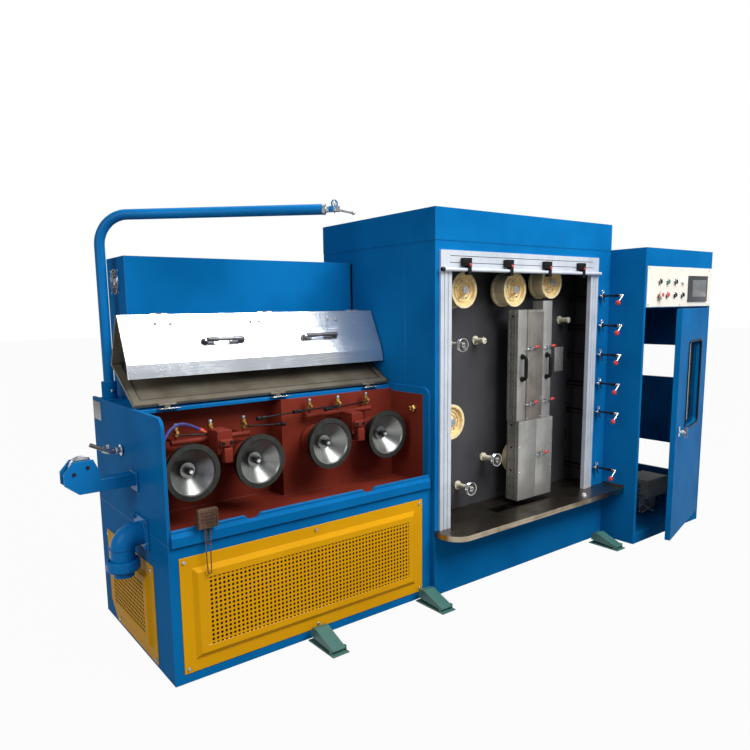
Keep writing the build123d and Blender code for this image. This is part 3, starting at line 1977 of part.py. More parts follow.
# Cabinet door in its open position: a folded pan with a window and a lock handle
door_run = (-cos(radians(door_open_angle)), -sin(radians(door_open_angle)))
door_edge = knuckle_radius + door_edge_gap
door_inner = door_outer_set - door_thickness


def on_door(run, depth):
    """Plan position on the door: run from the hinge, depth towards the outside."""
    return (
        door_hinge[0] + run * door_run[0] - depth * door_run[1],
        door_hinge[1] + run * door_run[1] + depth * door_run[0],
    )


def door_block(run0, run1, depth0, depth1, z0, z1, mode=Mode.ADD):
    """Block in the door's own directions, inside the current part."""
    middle = on_door((run0 + run1) / 2, (depth0 + depth1) / 2)
    with Locations(Location((*middle, (z0 + z1) / 2), (0, 0, door_open_angle))):
        Box(run1 - run0, depth1 - depth0, z1 - z0, mode=mode)


with BuildPart() as cabinet_door:
    door_far = door_edge + door_width
    door_outer = door_inner + door_thickness
    door_block(door_edge, door_far, door_inner, door_inner + door_thickness, door_bottom, door_top)
    door_block(
        door_edge + 2 * door_thickness,
        door_far - 2 * door_thickness,
        door_inner,
        door_inner + door_thickness - door_skin,
        door_bottom + 2 * door_thickness,
        door_top - 2 * door_thickness,
        mode=Mode.SUBTRACT,
    )
    frame_left = door_window_left - door_window_radius / 2
    frame_right = door_window_left + door_window_width + door_window_radius / 2
    door_block(
        frame_left,
        frame_right,
        door_inner,
        door_inner + door_thickness,
        door_window_bottom - door_window_radius / 2,
        door_window_bottom + door_window_height + door_window_radius / 2,
    )
    window_plane = Plane(
        origin=(*on_door(0, door_inner), 0),
        x_dir=(door_run[0], door_run[1], 0),
        z_dir=(door_run[1], -door_run[0], 0),
    )
    with BuildSketch(window_plane) as door_window:
        with Locations(
            (
                door_window_left + door_window_width / 2,
                door_window_bottom + door_window_height / 2,
            )
        ):
            RectangleRounded(door_window_width, door_window_height, door_window_radius)
    extrude(door_window.sketch, amount=-door_thickness, mode=Mode.SUBTRACT)
    door_block(
        door_far - lock_inset - lock_plate_width / 2,
        door_far - lock_inset + lock_plate_width / 2,
        door_outer,
        door_outer + lock_plate_thickness,
        lock_height - lock_plate_height / 2,
        lock_height + lock_plate_height / 2,
    )
    door_block(
        door_far - lock_inset - lock_grip_width / 2,
        door_far - lock_inset + lock_grip_width / 2,
        door_outer + lock_plate_thickness + lock_stem_length,
        door_outer + lock_plate_thickness + lock_stem_length + lock_grip_thickness,
        lock_height - lock_grip_length / 2,
        lock_height + lock_grip_length / 2,
    )
    door_block(
        door_far - lock_inset - lock_stem_radius,
        door_far - lock_inset + lock_stem_radius,
        door_outer + lock_plate_thickness,
        door_outer + lock_plate_thickness + lock_stem_length,
        lock_height - lock_stem_radius,
        lock_height + lock_stem_radius,
    )
    for knuckle_z in knuckle_stations:
        for side in (-1, 1):
            inner = knuckle_z + side * (hinge_width / 2 + 1)
            outer = inner + side * hinge_width
            low = min(inner, outer)
            high = max(inner, outer)
            rod_z(door_hinge[0], door_hinge[1], low, high, knuckle_radius)
            door_block(0, door_edge, -door_outer_set / 2, door_outer_set / 2, low, high)
        rod_z(
            door_hinge[0],
            door_hinge[1],
            knuckle_z - 1.5 * hinge_width - 2,
            knuckle_z + 1.5 * hinge_width + 2,
            hinge_pin_radius + bore_clearance,
            mode=Mode.SUBTRACT,
        )
save(cabinet_door, "cabinet_door")

# Pane of the door window
with BuildPart() as door_pane:
    with BuildSketch(window_plane) as pane_outline:
        with Locations(
            (
                door_window_left + door_window_width / 2,
                door_window_bottom + door_window_height / 2,
            )
        ):
            RectangleRounded(door_window_width, door_window_height, door_window_radius)
    extrude(pane_outline.sketch, amount=-pane_thickness)
save(door_pane, "door_pane")


# Foot switches: a base plate with two lugs, and a treadle hinged at its low front tip
pedal_spots = [
    (dx(pedal_x), pedal_back - pedal_gap)
    for pedal_x, pedal_back, pedal_gap in zip(pedal_stations, pedal_backs, pedal_gaps)
]
treadle_pin_z = pedal_plate + moving_gap + 2 * treadle_pin_radius + 1


def treadle_pin_y(pedal_rear):
    """Y of a treadle's pin, near the front end of its base plate."""
    return pedal_rear - pedal_length + treadle_inset


with BuildPart() as pedal_bases:
    for pedal_x, pedal_rear in pedal_spots:
        pin_y = treadle_pin_y(pedal_rear)
        block(
            pedal_x - pedal_width / 2,
            pedal_x + pedal_width / 2,
            pedal_rear - pedal_length,
            pedal_rear,
            0,
            pedal_plate,
        )
        for side in (-1, 1):
            inner_x = pedal_x + side * (treadle_width / 2 + lug_gap)
            outer_x = inner_x + side * lug_thickness
            block(
                min(inner_x, outer_x),
                max(inner_x, outer_x),
                pin_y - 2 * treadle_pin_radius,
                pin_y + 2 * treadle_pin_radius,
                pedal_plate,
                treadle_pin_z + 2 * treadle_pin_radius,
            )
        rod_x(
            pedal_x - treadle_width / 2 - lug_gap - lug_thickness / 2,
            pedal_x + treadle_width / 2 + lug_gap + lug_thickness / 2,
            pin_y,
            treadle_pin_z,
            treadle_pin_radius,
        )
save(pedal_bases, "pedal_bases")


def treadle(pedal_x, pedal_rear):
    """Treadle that rises from its pin towards the machine and ends in a rounded hump."""
    pin_y = treadle_pin_y(pedal_rear)
    boss = 2 * treadle_pin_radius + 1
    low = treadle_pin_z - boss
    with BuildPart() as step:
        prism_x(
            (
                (pin_y, low),
                (pin_y - boss, treadle_pin_z - boss / 2),
                (pin_y - boss, treadle_pin_z + boss / 3),
                (pin_y + treadle_length * 0.62, treadle_height - moving_gap),
                (pin_y + treadle_length * 0.8, treadle_height + moving_gap),
                (pin_y + treadle_length, treadle_height),
                (pin_y + treadle_length + boss, treadle_height * 0.7),
                (pin_y + treadle_length + boss, treadle_height * 0.36),
                (pin_y + boss, low + 1),
            ),
            pedal_x - treadle_width / 2,
            pedal_x + treadle_width / 2,
        )
        rod_x(
            pedal_x - treadle_width / 2,
            pedal_x + treadle_width / 2,
            pin_y,
            treadle_pin_z,
            treadle_pin_radius + bore_clearance,
            mode=Mode.SUBTRACT,
        )
    return step


for number, spot in enumerate(pedal_spots, start=1):
    save(treadle(*spot), f"foot_treadle_{number}")
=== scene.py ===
"""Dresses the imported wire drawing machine: finishes, small fittings, light and camera."""

import json
import logging
import math
from collections.abc import Iterable, Sequence
from dataclasses import dataclass, field
from enum import Enum
from random import Random

import bmesh
import bpy
from mathutils import Matrix, Vector

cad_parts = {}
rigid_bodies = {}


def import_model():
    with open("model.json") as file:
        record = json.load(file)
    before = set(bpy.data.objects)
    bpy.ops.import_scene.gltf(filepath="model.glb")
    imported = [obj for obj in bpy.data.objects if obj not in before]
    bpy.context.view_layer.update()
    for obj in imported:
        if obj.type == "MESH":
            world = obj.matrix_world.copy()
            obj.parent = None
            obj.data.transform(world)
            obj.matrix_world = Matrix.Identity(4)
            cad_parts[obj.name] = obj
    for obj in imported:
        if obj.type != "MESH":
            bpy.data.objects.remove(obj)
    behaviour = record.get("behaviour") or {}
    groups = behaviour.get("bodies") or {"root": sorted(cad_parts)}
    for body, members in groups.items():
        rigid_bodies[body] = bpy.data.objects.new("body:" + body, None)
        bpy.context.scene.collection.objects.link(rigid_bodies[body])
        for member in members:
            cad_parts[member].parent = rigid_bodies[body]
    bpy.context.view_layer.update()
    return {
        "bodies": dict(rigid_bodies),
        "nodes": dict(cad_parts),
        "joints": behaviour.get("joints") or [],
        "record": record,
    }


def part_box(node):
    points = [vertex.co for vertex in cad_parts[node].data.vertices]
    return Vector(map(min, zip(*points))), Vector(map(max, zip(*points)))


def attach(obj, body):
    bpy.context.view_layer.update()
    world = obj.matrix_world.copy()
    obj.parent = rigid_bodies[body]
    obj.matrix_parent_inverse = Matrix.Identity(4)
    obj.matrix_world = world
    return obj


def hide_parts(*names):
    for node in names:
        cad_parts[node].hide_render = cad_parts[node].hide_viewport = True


LOG = logging.getLogger("wire_drawing_machine")
MM = 0.001
FRONT, BACK = Vector((0, -1, 0)), Vector((0, 1, 0))
LEFT, RIGHT = Vector((-1, 0, 0)), Vector((1, 0, 0))
UP = Vector((0, 0, 1))
Point = tuple[float, float, float]
Pair = tuple[float, float]


def linear(colour: str) -> tuple[float, float, float, float]:
    """Turn an sRGB hex colour into the linear RGBA that Blender's sockets take.

    Args:
        colour: six hex digits with a leading hash.

    Returns:
        Linear red, green, blue and an alpha of 1.
    """
    values = []
    for start in (1, 3, 5):
        part = int(colour[start : start + 2], 16) / 255
        values.append(part / 12.92 if part <= 0.04045 else ((part + 0.055) / 1.055) ** 2.4)
    return (values[0], values[1], values[2], 1.0)


def feed(tree: bpy.types.NodeTree, node: bpy.types.Node, inputs: dict) -> None:
    """Fill a node's inputs.

    Args:
        tree: the node tree that the node is in.
        node: the node that is fed.
        inputs: socket name or index to a value, a source socket, or a node whose first live output is meant.
    """
    for name, value in inputs.items():
        if isinstance(value, bpy.types.Node):
            value = next(output for output in value.outputs if output.enabled)
        if isinstance(value, bpy.types.NodeSocket):
            tree.links.new(value, node.inputs[name])
        else:
            node.inputs[name].default_value = value


def add(
    tree: bpy.types.NodeTree,
    kind: str,
    inputs: dict | None = None,
    stops: Sequence[tuple[float, str]] = (),
    **settings,
) -> bpy.types.Node:
    """Add a node with its settings, socket values and links.

    Args:
        tree: the node tree that gets the node.
        kind: Blender's type name of the node.
        inputs: what feeds its inputs, as the function feed takes it.
        stops: a colour ramp's places from 0 to 1 with their hex colours.
        settings: attributes of the node, such as operation.

    Returns:
        The new node.
    """
    node = tree.nodes.new(kind)
    for name, value in settings.items():
        setattr(node, name, value)
    feed(tree, node, inputs or {})
    if stops:
        elements = node.color_ramp.elements
        while len(elements) < len(stops):
            elements.new(0.5)
        for element, (place, colour) in zip(elements, stops):
            element.position = place
            element.color = linear(colour)
    return node


def pattern_space(
    tree: bpy.types.NodeTree, scale: Point = (1, 1, 1), centre: Point = (0, 0, 0)
) -> bpy.types.Node:
    """Give object coordinates, moved to a centre and then stretched.

    Args:
        tree: the material's node tree.
        scale: stretch along each axis.
        centre: the point in metres that becomes the pattern's origin.

    Returns:
        The mapping node.
    """
    coordinates = add(tree, "ShaderNodeTexCoord").outputs["Object"]
    moved = tuple(-c * s for c, s in zip(centre, scale))
    return add(tree, "ShaderNodeMapping", {"Vector": coordinates, "Location": moved, "Scale": scale})


def new_material(name: str) -> tuple[bpy.types.Material, bpy.types.NodeTree, bpy.types.Node]:
    """Start a node material.

    Args:
        name: the finish's name.

    Returns:
        The material, its tree and its main shader node.
    """
    material = bpy.data.materials.new(name)
    material.use_nodes = True
    tree = material.node_tree
    return material, tree, tree.nodes["Principled BSDF"]


@dataclass(frozen=True)
class Enamel:
    """Sprayed machine enamel: an even semi-gloss coat with faint orange peel, dust, and rubbed edges
    lightened partly as a painted highlight.
    """

    name: str
    colour: str
    shade: str
    worn_and_highlit: str
    roughness: float = 0.34
    peel: float = 0.05
    edge: float = 0.5
    sheen: float = 0.5

    def build(self) -> bpy.types.Material:
        """Build the enamel's material.

        Returns:
            The node material.
        """
        material, tree, shader = new_material(self.name)
        space = pattern_space(tree)
        # Broad clouds half a metre across show how the spray coat and dust vary.
        clouds = add(tree, "ShaderNodeTexNoise", {"Vector": space, "Scale": 2.2, "Detail": 3.0})
        base = add(tree, "ShaderNodeValToRGB", {"Fac": clouds}, ((0.36, self.shade), (0.62, self.colour)))
        # The bevel node's normal differs from the face's only within 3 mm of an edge.
        soft = add(tree, "ShaderNodeBevel", {"Radius": 0.003}, samples=4)
        face = add(tree, "ShaderNodeNewGeometry").outputs["Normal"]
        likeness = add(tree, "ShaderNodeVectorMath", {0: soft, 1: face}, operation="DOT_PRODUCT")
        # Within 3 mm of an edge the colour turns towards the worn colour: partly rubbed wear, partly a
        # painted highlight.
        edges = {"Value": likeness, "From Min": 0.97, "From Max": 0.8, "To Min": 0.0, "To Max": self.edge}
        rubbed_and_highlit = add(tree, "ShaderNodeMapRange", edges)
        # Rubbed wear and the painted edge highlight show in flecks about 3 cm across.
        flecks = add(tree, "ShaderNodeTexNoise", {"Vector": space, "Scale": 30.0, "Detail": 4.0})
        patchy = add(tree, "ShaderNodeMath", {0: rubbed_and_highlit, 1: flecks}, operation="MULTIPLY")
        colours = {"Factor": patchy, "A": base, "B": linear(self.worn_and_highlit)}
        mixed = add(tree, "ShaderNodeMix", colours, data_type="RGBA")
        # Rounded edges keep a bright line; dusty flat sheet shines less.
        gloss = {"Value": likeness, "From Min": 0.99, "From Max": 0.85, "To Min": self.sheen, "To Max": 0.5}
        shine = add(tree, "ShaderNodeMapRange", gloss)
        # Orange peel is about 3 mm across.
        peel = add(tree, "ShaderNodeTexNoise", {"Vector": space, "Scale": 320.0, "Detail": 1.0})
        waves = {"Height": peel, "Strength": self.peel, "Distance": 0.0004, "Normal": soft}
        bump = add(tree, "ShaderNodeBump", waves)
        # Wiped and dusty patches about 15 cm across differ in gloss.
        wiped = add(tree, "ShaderNodeTexNoise", {"Vector": space, "Scale": 6.0, "Detail": 4.0})
        span = {"To Min": self.roughness - 0.06, "To Max": self.roughness + 0.12}
        smear = add(tree, "ShaderNodeMapRange", {"Value": wiped, **span})
        feed(tree, shader, {"Base Color": mixed, "Normal": bump})
        feed(tree, shader, {"Specular IOR Level": shine, "Roughness": smear})
        return material


class Grain(Enum):
    """The way that a metal surface was worked, as waves per metre along each axis."""

    ALONG_X = (4.0, 900.0, 900.0)
    ALONG_Z = (900.0, 900.0, 4.0)
    CAST = (180.0, 180.0, 180.0)
    PLATED = (40.0, 40.0, 40.0)


@dataclass(frozen=True)
class Metal:
    """Bare metal with grain from brushing, drawing or casting, and stains from oil."""

    name: str
    colour: str
    stain: str
    grain: Grain = Grain.PLATED
    roughness: float = 0.28
    depth: float = 0.12
    metallic: float = 1.0

    def build(self) -> bpy.types.Material:
        """Build the metal's material.

        Returns:
            The node material.
        """
        material, tree, shader = new_material(self.name)
        worked = pattern_space(tree, self.grain.value)
        fine = add(tree, "ShaderNodeTexNoise", {"Vector": worked, "Scale": 1.0, "Detail": 2.0})
        # Oil and water stains are about 14 cm across.
        broad = add(tree, "ShaderNodeTexNoise", {"Vector": pattern_space(tree), "Scale": 7.0, "Detail": 4.0})
        both = add(tree, "ShaderNodeMath", {0: fine, 1: broad}, operation="MULTIPLY")
        colour = add(tree, "ShaderNodeValToRGB", {"Fac": both}, ((0.14, self.stain), (0.32, self.colour)))
        bump = add(tree, "ShaderNodeBump", {"Height": fine, "Strength": self.depth, "Distance": 0.0003})
        span = {"From Min": 0.1, "From Max": 0.4}
        span |= {"To Min": self.roughness + 0.16, "To Max": self.roughness - 0.06}
        rough = add(tree, "ShaderNodeMapRange", {"Value": both, **span})
        feed(tree, shader, {"Metallic": self.metallic, "Roughness": rough})
        feed(tree, shader, {"Base Color": colour, "Normal": bump})
        return material


@dataclass(frozen=True)
class Turned:
    """Metal turned on a lathe: rings round its axis, with a dull hardened band at the rim."""

    name: str
    centre: Point
    face: str
    rim: str
    rim_radius: float
    outer_radius: float
    roughness: float = 0.24
    metallic: float = 1.0

    def build(self) -> bpy.types.Material:
        """Build the turned metal's material.

        Returns:
            The node material.
        """
        material, tree, shader = new_material(self.name)
        flat = pattern_space(tree, (1, 0, 1), self.centre)
        radius = add(tree, "ShaderNodeVectorMath", {0: flat}, operation="LENGTH")
        share = add(tree, "ShaderNodeMath", {0: radius, 1: 1 / self.outer_radius}, operation="MULTIPLY")
        edge = self.rim_radius / self.outer_radius
        bands = ((0.0, self.face), (edge - 0.02, self.face), (edge, self.rim), (1.0, self.rim))
        colour = add(tree, "ShaderNodeValToRGB", {"Fac": share}, bands)
        # Streaks run out from the centre, as wiping and wire marks do on a turned face.
        outward = add(tree, "ShaderNodeVectorMath", {0: flat}, operation="NORMALIZE")
        wiped = add(tree, "ShaderNodeTexNoise", {"Vector": outward, "Scale": 4.0, "Detail": 3.0})
        streaks = add(tree, "ShaderNodeValToRGB", {"Fac": wiped}, ((0.4, "#000000"), (0.7, "#9a9a9a")))
        colours = {"Factor": streaks, "A": colour, "B": linear("#8d8c89")}
        dull = add(tree, "ShaderNodeMix", colours, data_type="RGBA", blend_type="MULTIPLY")
        # Tool marks are drawn 1.5 mm apart, coarser than real ones, so that they show.
        rings = add(tree, "ShaderNodeMath", {0: radius, 1: 4200.0}, operation="MULTIPLY")
        waves = add(tree, "ShaderNodeMath", {0: rings}, operation="SINE")
        bump = add(tree, "ShaderNodeBump", {"Height": waves, "Strength": 0.12, "Distance": 0.0003})
        span = {"From Min": edge - 0.02, "From Max": edge + 0.02}
        span |= {"To Min": self.roughness, "To Max": self.roughness + 0.22}
        rough = add(tree, "ShaderNodeMapRange", {"Value": share, **span})
        feed(tree, shader, {"Metallic": self.metallic, "Roughness": rough})
        feed(tree, shader, {"Base Color": dull, "Normal": bump})
        return material


@dataclass(frozen=True)
class Moulded:
    """Moulded plastic, acrylic or rubber with a faint texture from the mould."""

    name: str
    colour: str
    shade: str
    roughness: float = 0.4
    transmission: float = 0.0
    coat: float = 0.0
    sheen: float = 0.5

    def build(self) -> bpy.types.Material:
        """Build the plastic's material.

        Returns:
            The node material.
        """
        material, tree, shader = new_material(self.name)
        space = pattern_space(tree)
        # Handling shades the plastic in patches about 4 cm across.
        tint = add(tree, "ShaderNodeTexNoise", {"Vector": space, "Scale": 24.0, "Detail": 3.0})
        colour = add(tree, "ShaderNodeValToRGB", {"Fac": tint}, ((0.35, self.shade), (0.65, self.colour)))
        # The mould's texture is about 1.5 mm across.
        mould = add(tree, "ShaderNodeTexNoise", {"Vector": space, "Scale": 700.0, "Detail": 1.0})
        bump = add(tree, "ShaderNodeBump", {"Height": mould, "Strength": 0.04, "Distance": 0.0002})
        feed(tree, shader, {"Base Color": colour, "Normal": bump, "Roughness": self.roughness})
        gloss = {"Specular IOR Level": self.sheen, "Coat Weight": self.coat}
        feed(tree, shader, {"Transmission Weight": self.transmission, **gloss})
        return material


Finish = Enamel | Metal | Turned | Moulded

# Each enamel's third colour lies along its edges: partly rubbed wear, partly a painted highlight.
# Machine enamel, sprayed on smooth sheet: a deep even blue, dusty on the flat, with bright rounded edges from
# real gloss and a painted highlight.
BLUE = Enamel("blue_machine_enamel", "#0c6ba9", "#075f99", "#4b94c9", roughness=0.3, peel=0.04, sheen=0.003)
# The same enamel on pipes, where it lies thicker and stays clean: a glossier blue with long highlights.
PIPE_BLUE = Enamel("glossy_blue_pipe_enamel", "#0a70b1", "#0463a1", "#4b94c9", 0.24, 0.04, sheen=0.1)
# Enamel on pressed panels: a warm flat yellow, a little paler along the pressings, partly as a painted
# highlight.
YELLOW = Enamel("yellow_panel_enamel", "#d99c10", "#cf940d", "#e9c05a", edge=0.3, sheen=0.02)
# Iron oxide primer on castings: chalky brown red without a shine, coarser than the enamel.
OXIDE = Enamel("red_oxide_primer", "#7a2f22", "#652419", "#94533f", roughness=0.42, peel=0.1, sheen=0.08)
# Baked enamel on the control plate: a clean warm white with a satin gloss.
CREAM = Enamel("cream_panel_enamel", "#eee7db", "#e6ded0", "#fffdf8", roughness=0.3)
# Two-part coating on the compartment's back: near black and slightly lumpy, so the bronze stands out.
DARK_PLATE = Enamel("dark_compartment_coating", "#424245", "#353538", "#5c5c5c", 0.36, 0.08, sheen=0.3)
# Hammered enamel on cast pedals: a grey green whose dimples break up the shine.
PEDAL = Enamel("green_hammered_enamel", "#437068", "#37625b", "#7fa29b", roughness=0.38, peel=0.3)
# Motor enamel on rough cast iron: a matt, dusty stone grey.
GREY_MOTOR = Enamel("grey_motor_enamel", "#c0b9a4", "#9d9786", "#cfc9b6", roughness=0.5, peel=0.2)
# Brushed stainless sheet: pale silver with fine streaks along the sheet.
STAINLESS = Metal("brushed_stainless_sheet", "#e2e5e8", "#c3c8cd", Grain.ALONG_X, 0.15, 0.05, 0.84)
# Steel sheet under a film of drawing soap: a dull brown grey that hardly mirrors.
LINING = Metal("soap_filmed_lid_sheet", "#766f61", "#574f40", Grain.ALONG_X, 0.5, metallic=0.35)
# The same sheet at its folds, darkened as painted shade where the recess meets the rim: a dark brown line.
LID_FOLD_SHADE = Metal("painted_shade_lid_fold", "#3d382f", "#27231d", Grain.ALONG_X, 0.5, metallic=0.3)
# Stainless tray under old oil: brown clouds over a long soft reflection.
TRAY = Metal("oiled_tray_sheet", "#8d8478", "#584f45", Grain.ALONG_X, 0.3)
# The tray's edge, rubbed by hands and wire and brightened as a painted highlight: warmer and brighter than
# its floor.
TRAY_EDGE = Metal("polished_tray_edge", "#b5a994", "#5d4c36", Grain.ALONG_X, 0.2)
# The tray's sunken floor, drawn as a dark sheet: a dark pool that still gleams.
TRAY_RECESS = Metal("dark_recessed_sheet", "#35322e", "#211f1c", Grain.ALONG_X, 0.25)
# Anodised aluminium extrusion: pale, cool and evenly satin along its length.
ALUMINIUM = Metal("anodised_aluminium_extrusion", "#d6dbe2", "#bcc3cc", Grain.ALONG_Z, 0.34, 0.06, 0.3)
# Brushed aluminium strips of the annealing box: mid grey with upright streaks.
STRIP_ALUMINIUM = Metal("brushed_cover_strip", "#b0afa9", "#8b8983", Grain.ALONG_Z, 0.36, 0.1, 0.55)
# The box's centre plate, tinted by oil smoke: browner than the strips beside it.
CENTRE_PLATE = Metal("oil_tinted_cover_plate", "#8c867e", "#625c54", Grain.ALONG_Z, 0.4, 0.1, 0.5)
# The box's own sheet under an oil film: a soft grey with dark clouds.
BOX_STEEL = Metal("oily_box_sheet", "#a19f99", "#74716a", Grain.ALONG_Z, 0.42, 0.1, 0.35)
# Pickled steel channel: grey with small mottles.
CHANNEL_STEEL = Metal("mottled_channel_steel", "#9b9992", "#64615a", Grain.CAST, 0.4, 0.2, 0.35)
# Bare aluminium plate, speckled by coolant: pale and matt.
PLATE_ALUMINIUM = Metal("speckled_bare_plate", "#b5b6b4", "#7d7e7c", Grain.CAST, 0.4, 0.1, 0.4)
# Machined brass of the valves: yellow with brown tarnish in patches.
BRASS = Metal("machined_brass", "#c8a25a", "#8d6b35", Grain.PLATED, 0.3)
# Bright zinc plate on fittings: silver with faint grey bloom.
ZINC = Metal("bright_zinc_plate", "#c6c8ca", "#8e9193", Grain.PLATED, 0.25)
# Polished chromed steel: near white, with sharp reflections.
BRIGHT_STEEL = Metal("polished_chrome_steel", "#dfe1e3", "#a9acae", Grain.PLATED, 0.14, 0.05)
# Steel in the hollow of a guide disc, where little light falls: dark grey.
DISH_STEEL = Metal("shadowed_dish_steel", "#5c5b57", "#35342f", Grain.CAST, 0.38, 0.15, 0.7)
# Worn steel hardware: mid grey without a clear reflection.
DULL_STEEL = Metal("dull_grey_steel", "#8f8e8b", "#5a5957", Grain.CAST, 0.42, 0.2, 0.8)
# Bronze of the contact wheels, turned and bright: a pale gold.
WHEEL_FACE = Metal("gilt_bronze_face", "#f6dda0", "#d9b06a", Grain.PLATED, 0.32, 0.06, 0.35)
# Steel blackened in hot oil: soft black with a low shine.
BLACK_STEEL = Metal("blackened_steel", "#2b2b2d", "#1b1b1d", Grain.PLATED, 0.35, metallic=0.8)
# Rusty steel under oil, as on the pulling clamp: brown, rough and blotched.
BROWN_STEEL = Metal("oil_browned_steel", "#6d5240", "#3c2c22", Grain.CAST, 0.5, 0.4, 0.6)
# Cast zinc alloy of the flap's handles: dark pewter with a grainy gleam.
HANDLE_STEEL = Metal("dark_pewter_casting", "#77777a", "#3c3c3e", Grain.CAST, 0.3, 0.35)
# Depth behind the fan's guard: almost black, and without a gloss.
FAN_DARK = Moulded("shadowed_fan_well", "#1c2126", "#12161a", 0.7)
# Cast nylon of the posts: warm ivory with a soft gloss.
IVORY = Moulded("ivory_nylon", "#e2ddc8", "#d3cdb4", 0.38)
# White nylon knob on the tray: cleaner and paler than the posts.
WHITE = Moulded("white_nylon_knob", "#f0efe9", "#e2e0d8", 0.35)
# Black phenolic and rubber of grips and seals: deep black with a faint sheen.
BLACK = Moulded("black_moulded_plastic", "#111112", "#0b0b0c", 0.45, sheen=0.2)
# Red phenolic of knobs and buttons: an even signal red, with small highlights.
RED = Moulded("red_moulded_plastic", "#c23a36", "#b12f2c", 0.28)
# Green lens of the start button: dark and glossy.
GREEN = Moulded("green_button_lens", "#1f7d56", "#186b48", 0.25)
# Clear lens of a lamp that is off: milky white and glossy.
CLEAR_LENS = Moulded("clear_button_lens", "#e9ece9", "#dfe3e0", 0.2)
# Glass over an unlit screen: mid grey, under a thin mirror coat.
SCREEN_GLASS = Moulded("unlit_screen_glass", "#6f7271", "#676a69", 0.2, coat=0.3)
# Moulded frame of the screen: dark grey and satin.
BEZEL = Moulded("dark_screen_bezel", "#3a3c3f", "#333538", 0.35)
# Acrylic pane of the door: smoky and see-through.
PANE = Moulded("smoky_acrylic_pane", "#a9bcc7", "#9db1bd", 0.06, transmission=1.0)
# Acetal links of the coolant nozzle: violet blue and smooth.
HOSE_BLUE = Moulded("violet_blue_hose_link", "#3a3a86", "#30306f", 0.35)
# Acetal tip of the coolant nozzle: bright orange.
NOZZLE = Moulded("orange_hose_nozzle", "#e0603c", "#d2532f", 0.35)
# Shadow inside a hole or a seam: dark brown, and without any reflection.
HOLE = Moulded("shadowed_hole", "#2c170b", "#201007", 0.9, sheen=0.0)


def rounded(corners: list[Vector], radius: float, steps: int = 6) -> list[Vector]:
    """Round the inner corners of a path.

    Args:
        corners: the path's corners in metres.
        radius: how far from each corner the bend begins.
        steps: points along each bend.

    Returns:
        The points of the rounded path.
    """
    path = [corners[0]]
    for before, corner, after in zip(corners, corners[1:], corners[2:]):
        back, ahead = before - corner, after - corner
        reach = min(radius, back.length * 0.49, ahead.length * 0.49)
        start = corner + back.normalized() * reach
        end = corner + ahead.normalized() * reach
        for step in range(steps + 1):
            share = step / steps
            path.append(start * (1 - share) ** 2 + corner * 2 * share * (1 - share) + end * share**2)
    path.append(corners[-1])
    return path


def arc(
    centre: Vector, across: Vector, upward: Vector, radius: float, start: float, end: float, steps: int
) -> list[Vector]:
    """Give points along an arc.

    Args:
        centre: the arc's middle in metres.
        across: unit vector at angle 0.
        upward: unit vector at 90 degrees.
        radius: in metres.
        start: first angle in degrees.
        end: last angle in degrees.
        steps: number of pieces.

    Returns:
        The points from start to end.
    """
    points = []
    for step in range(steps + 1):
        angle = math.radians(start + (end - start) * step / steps)
        points.append(centre + radius * (math.cos(angle) * across + math.sin(angle) * upward))
    return points


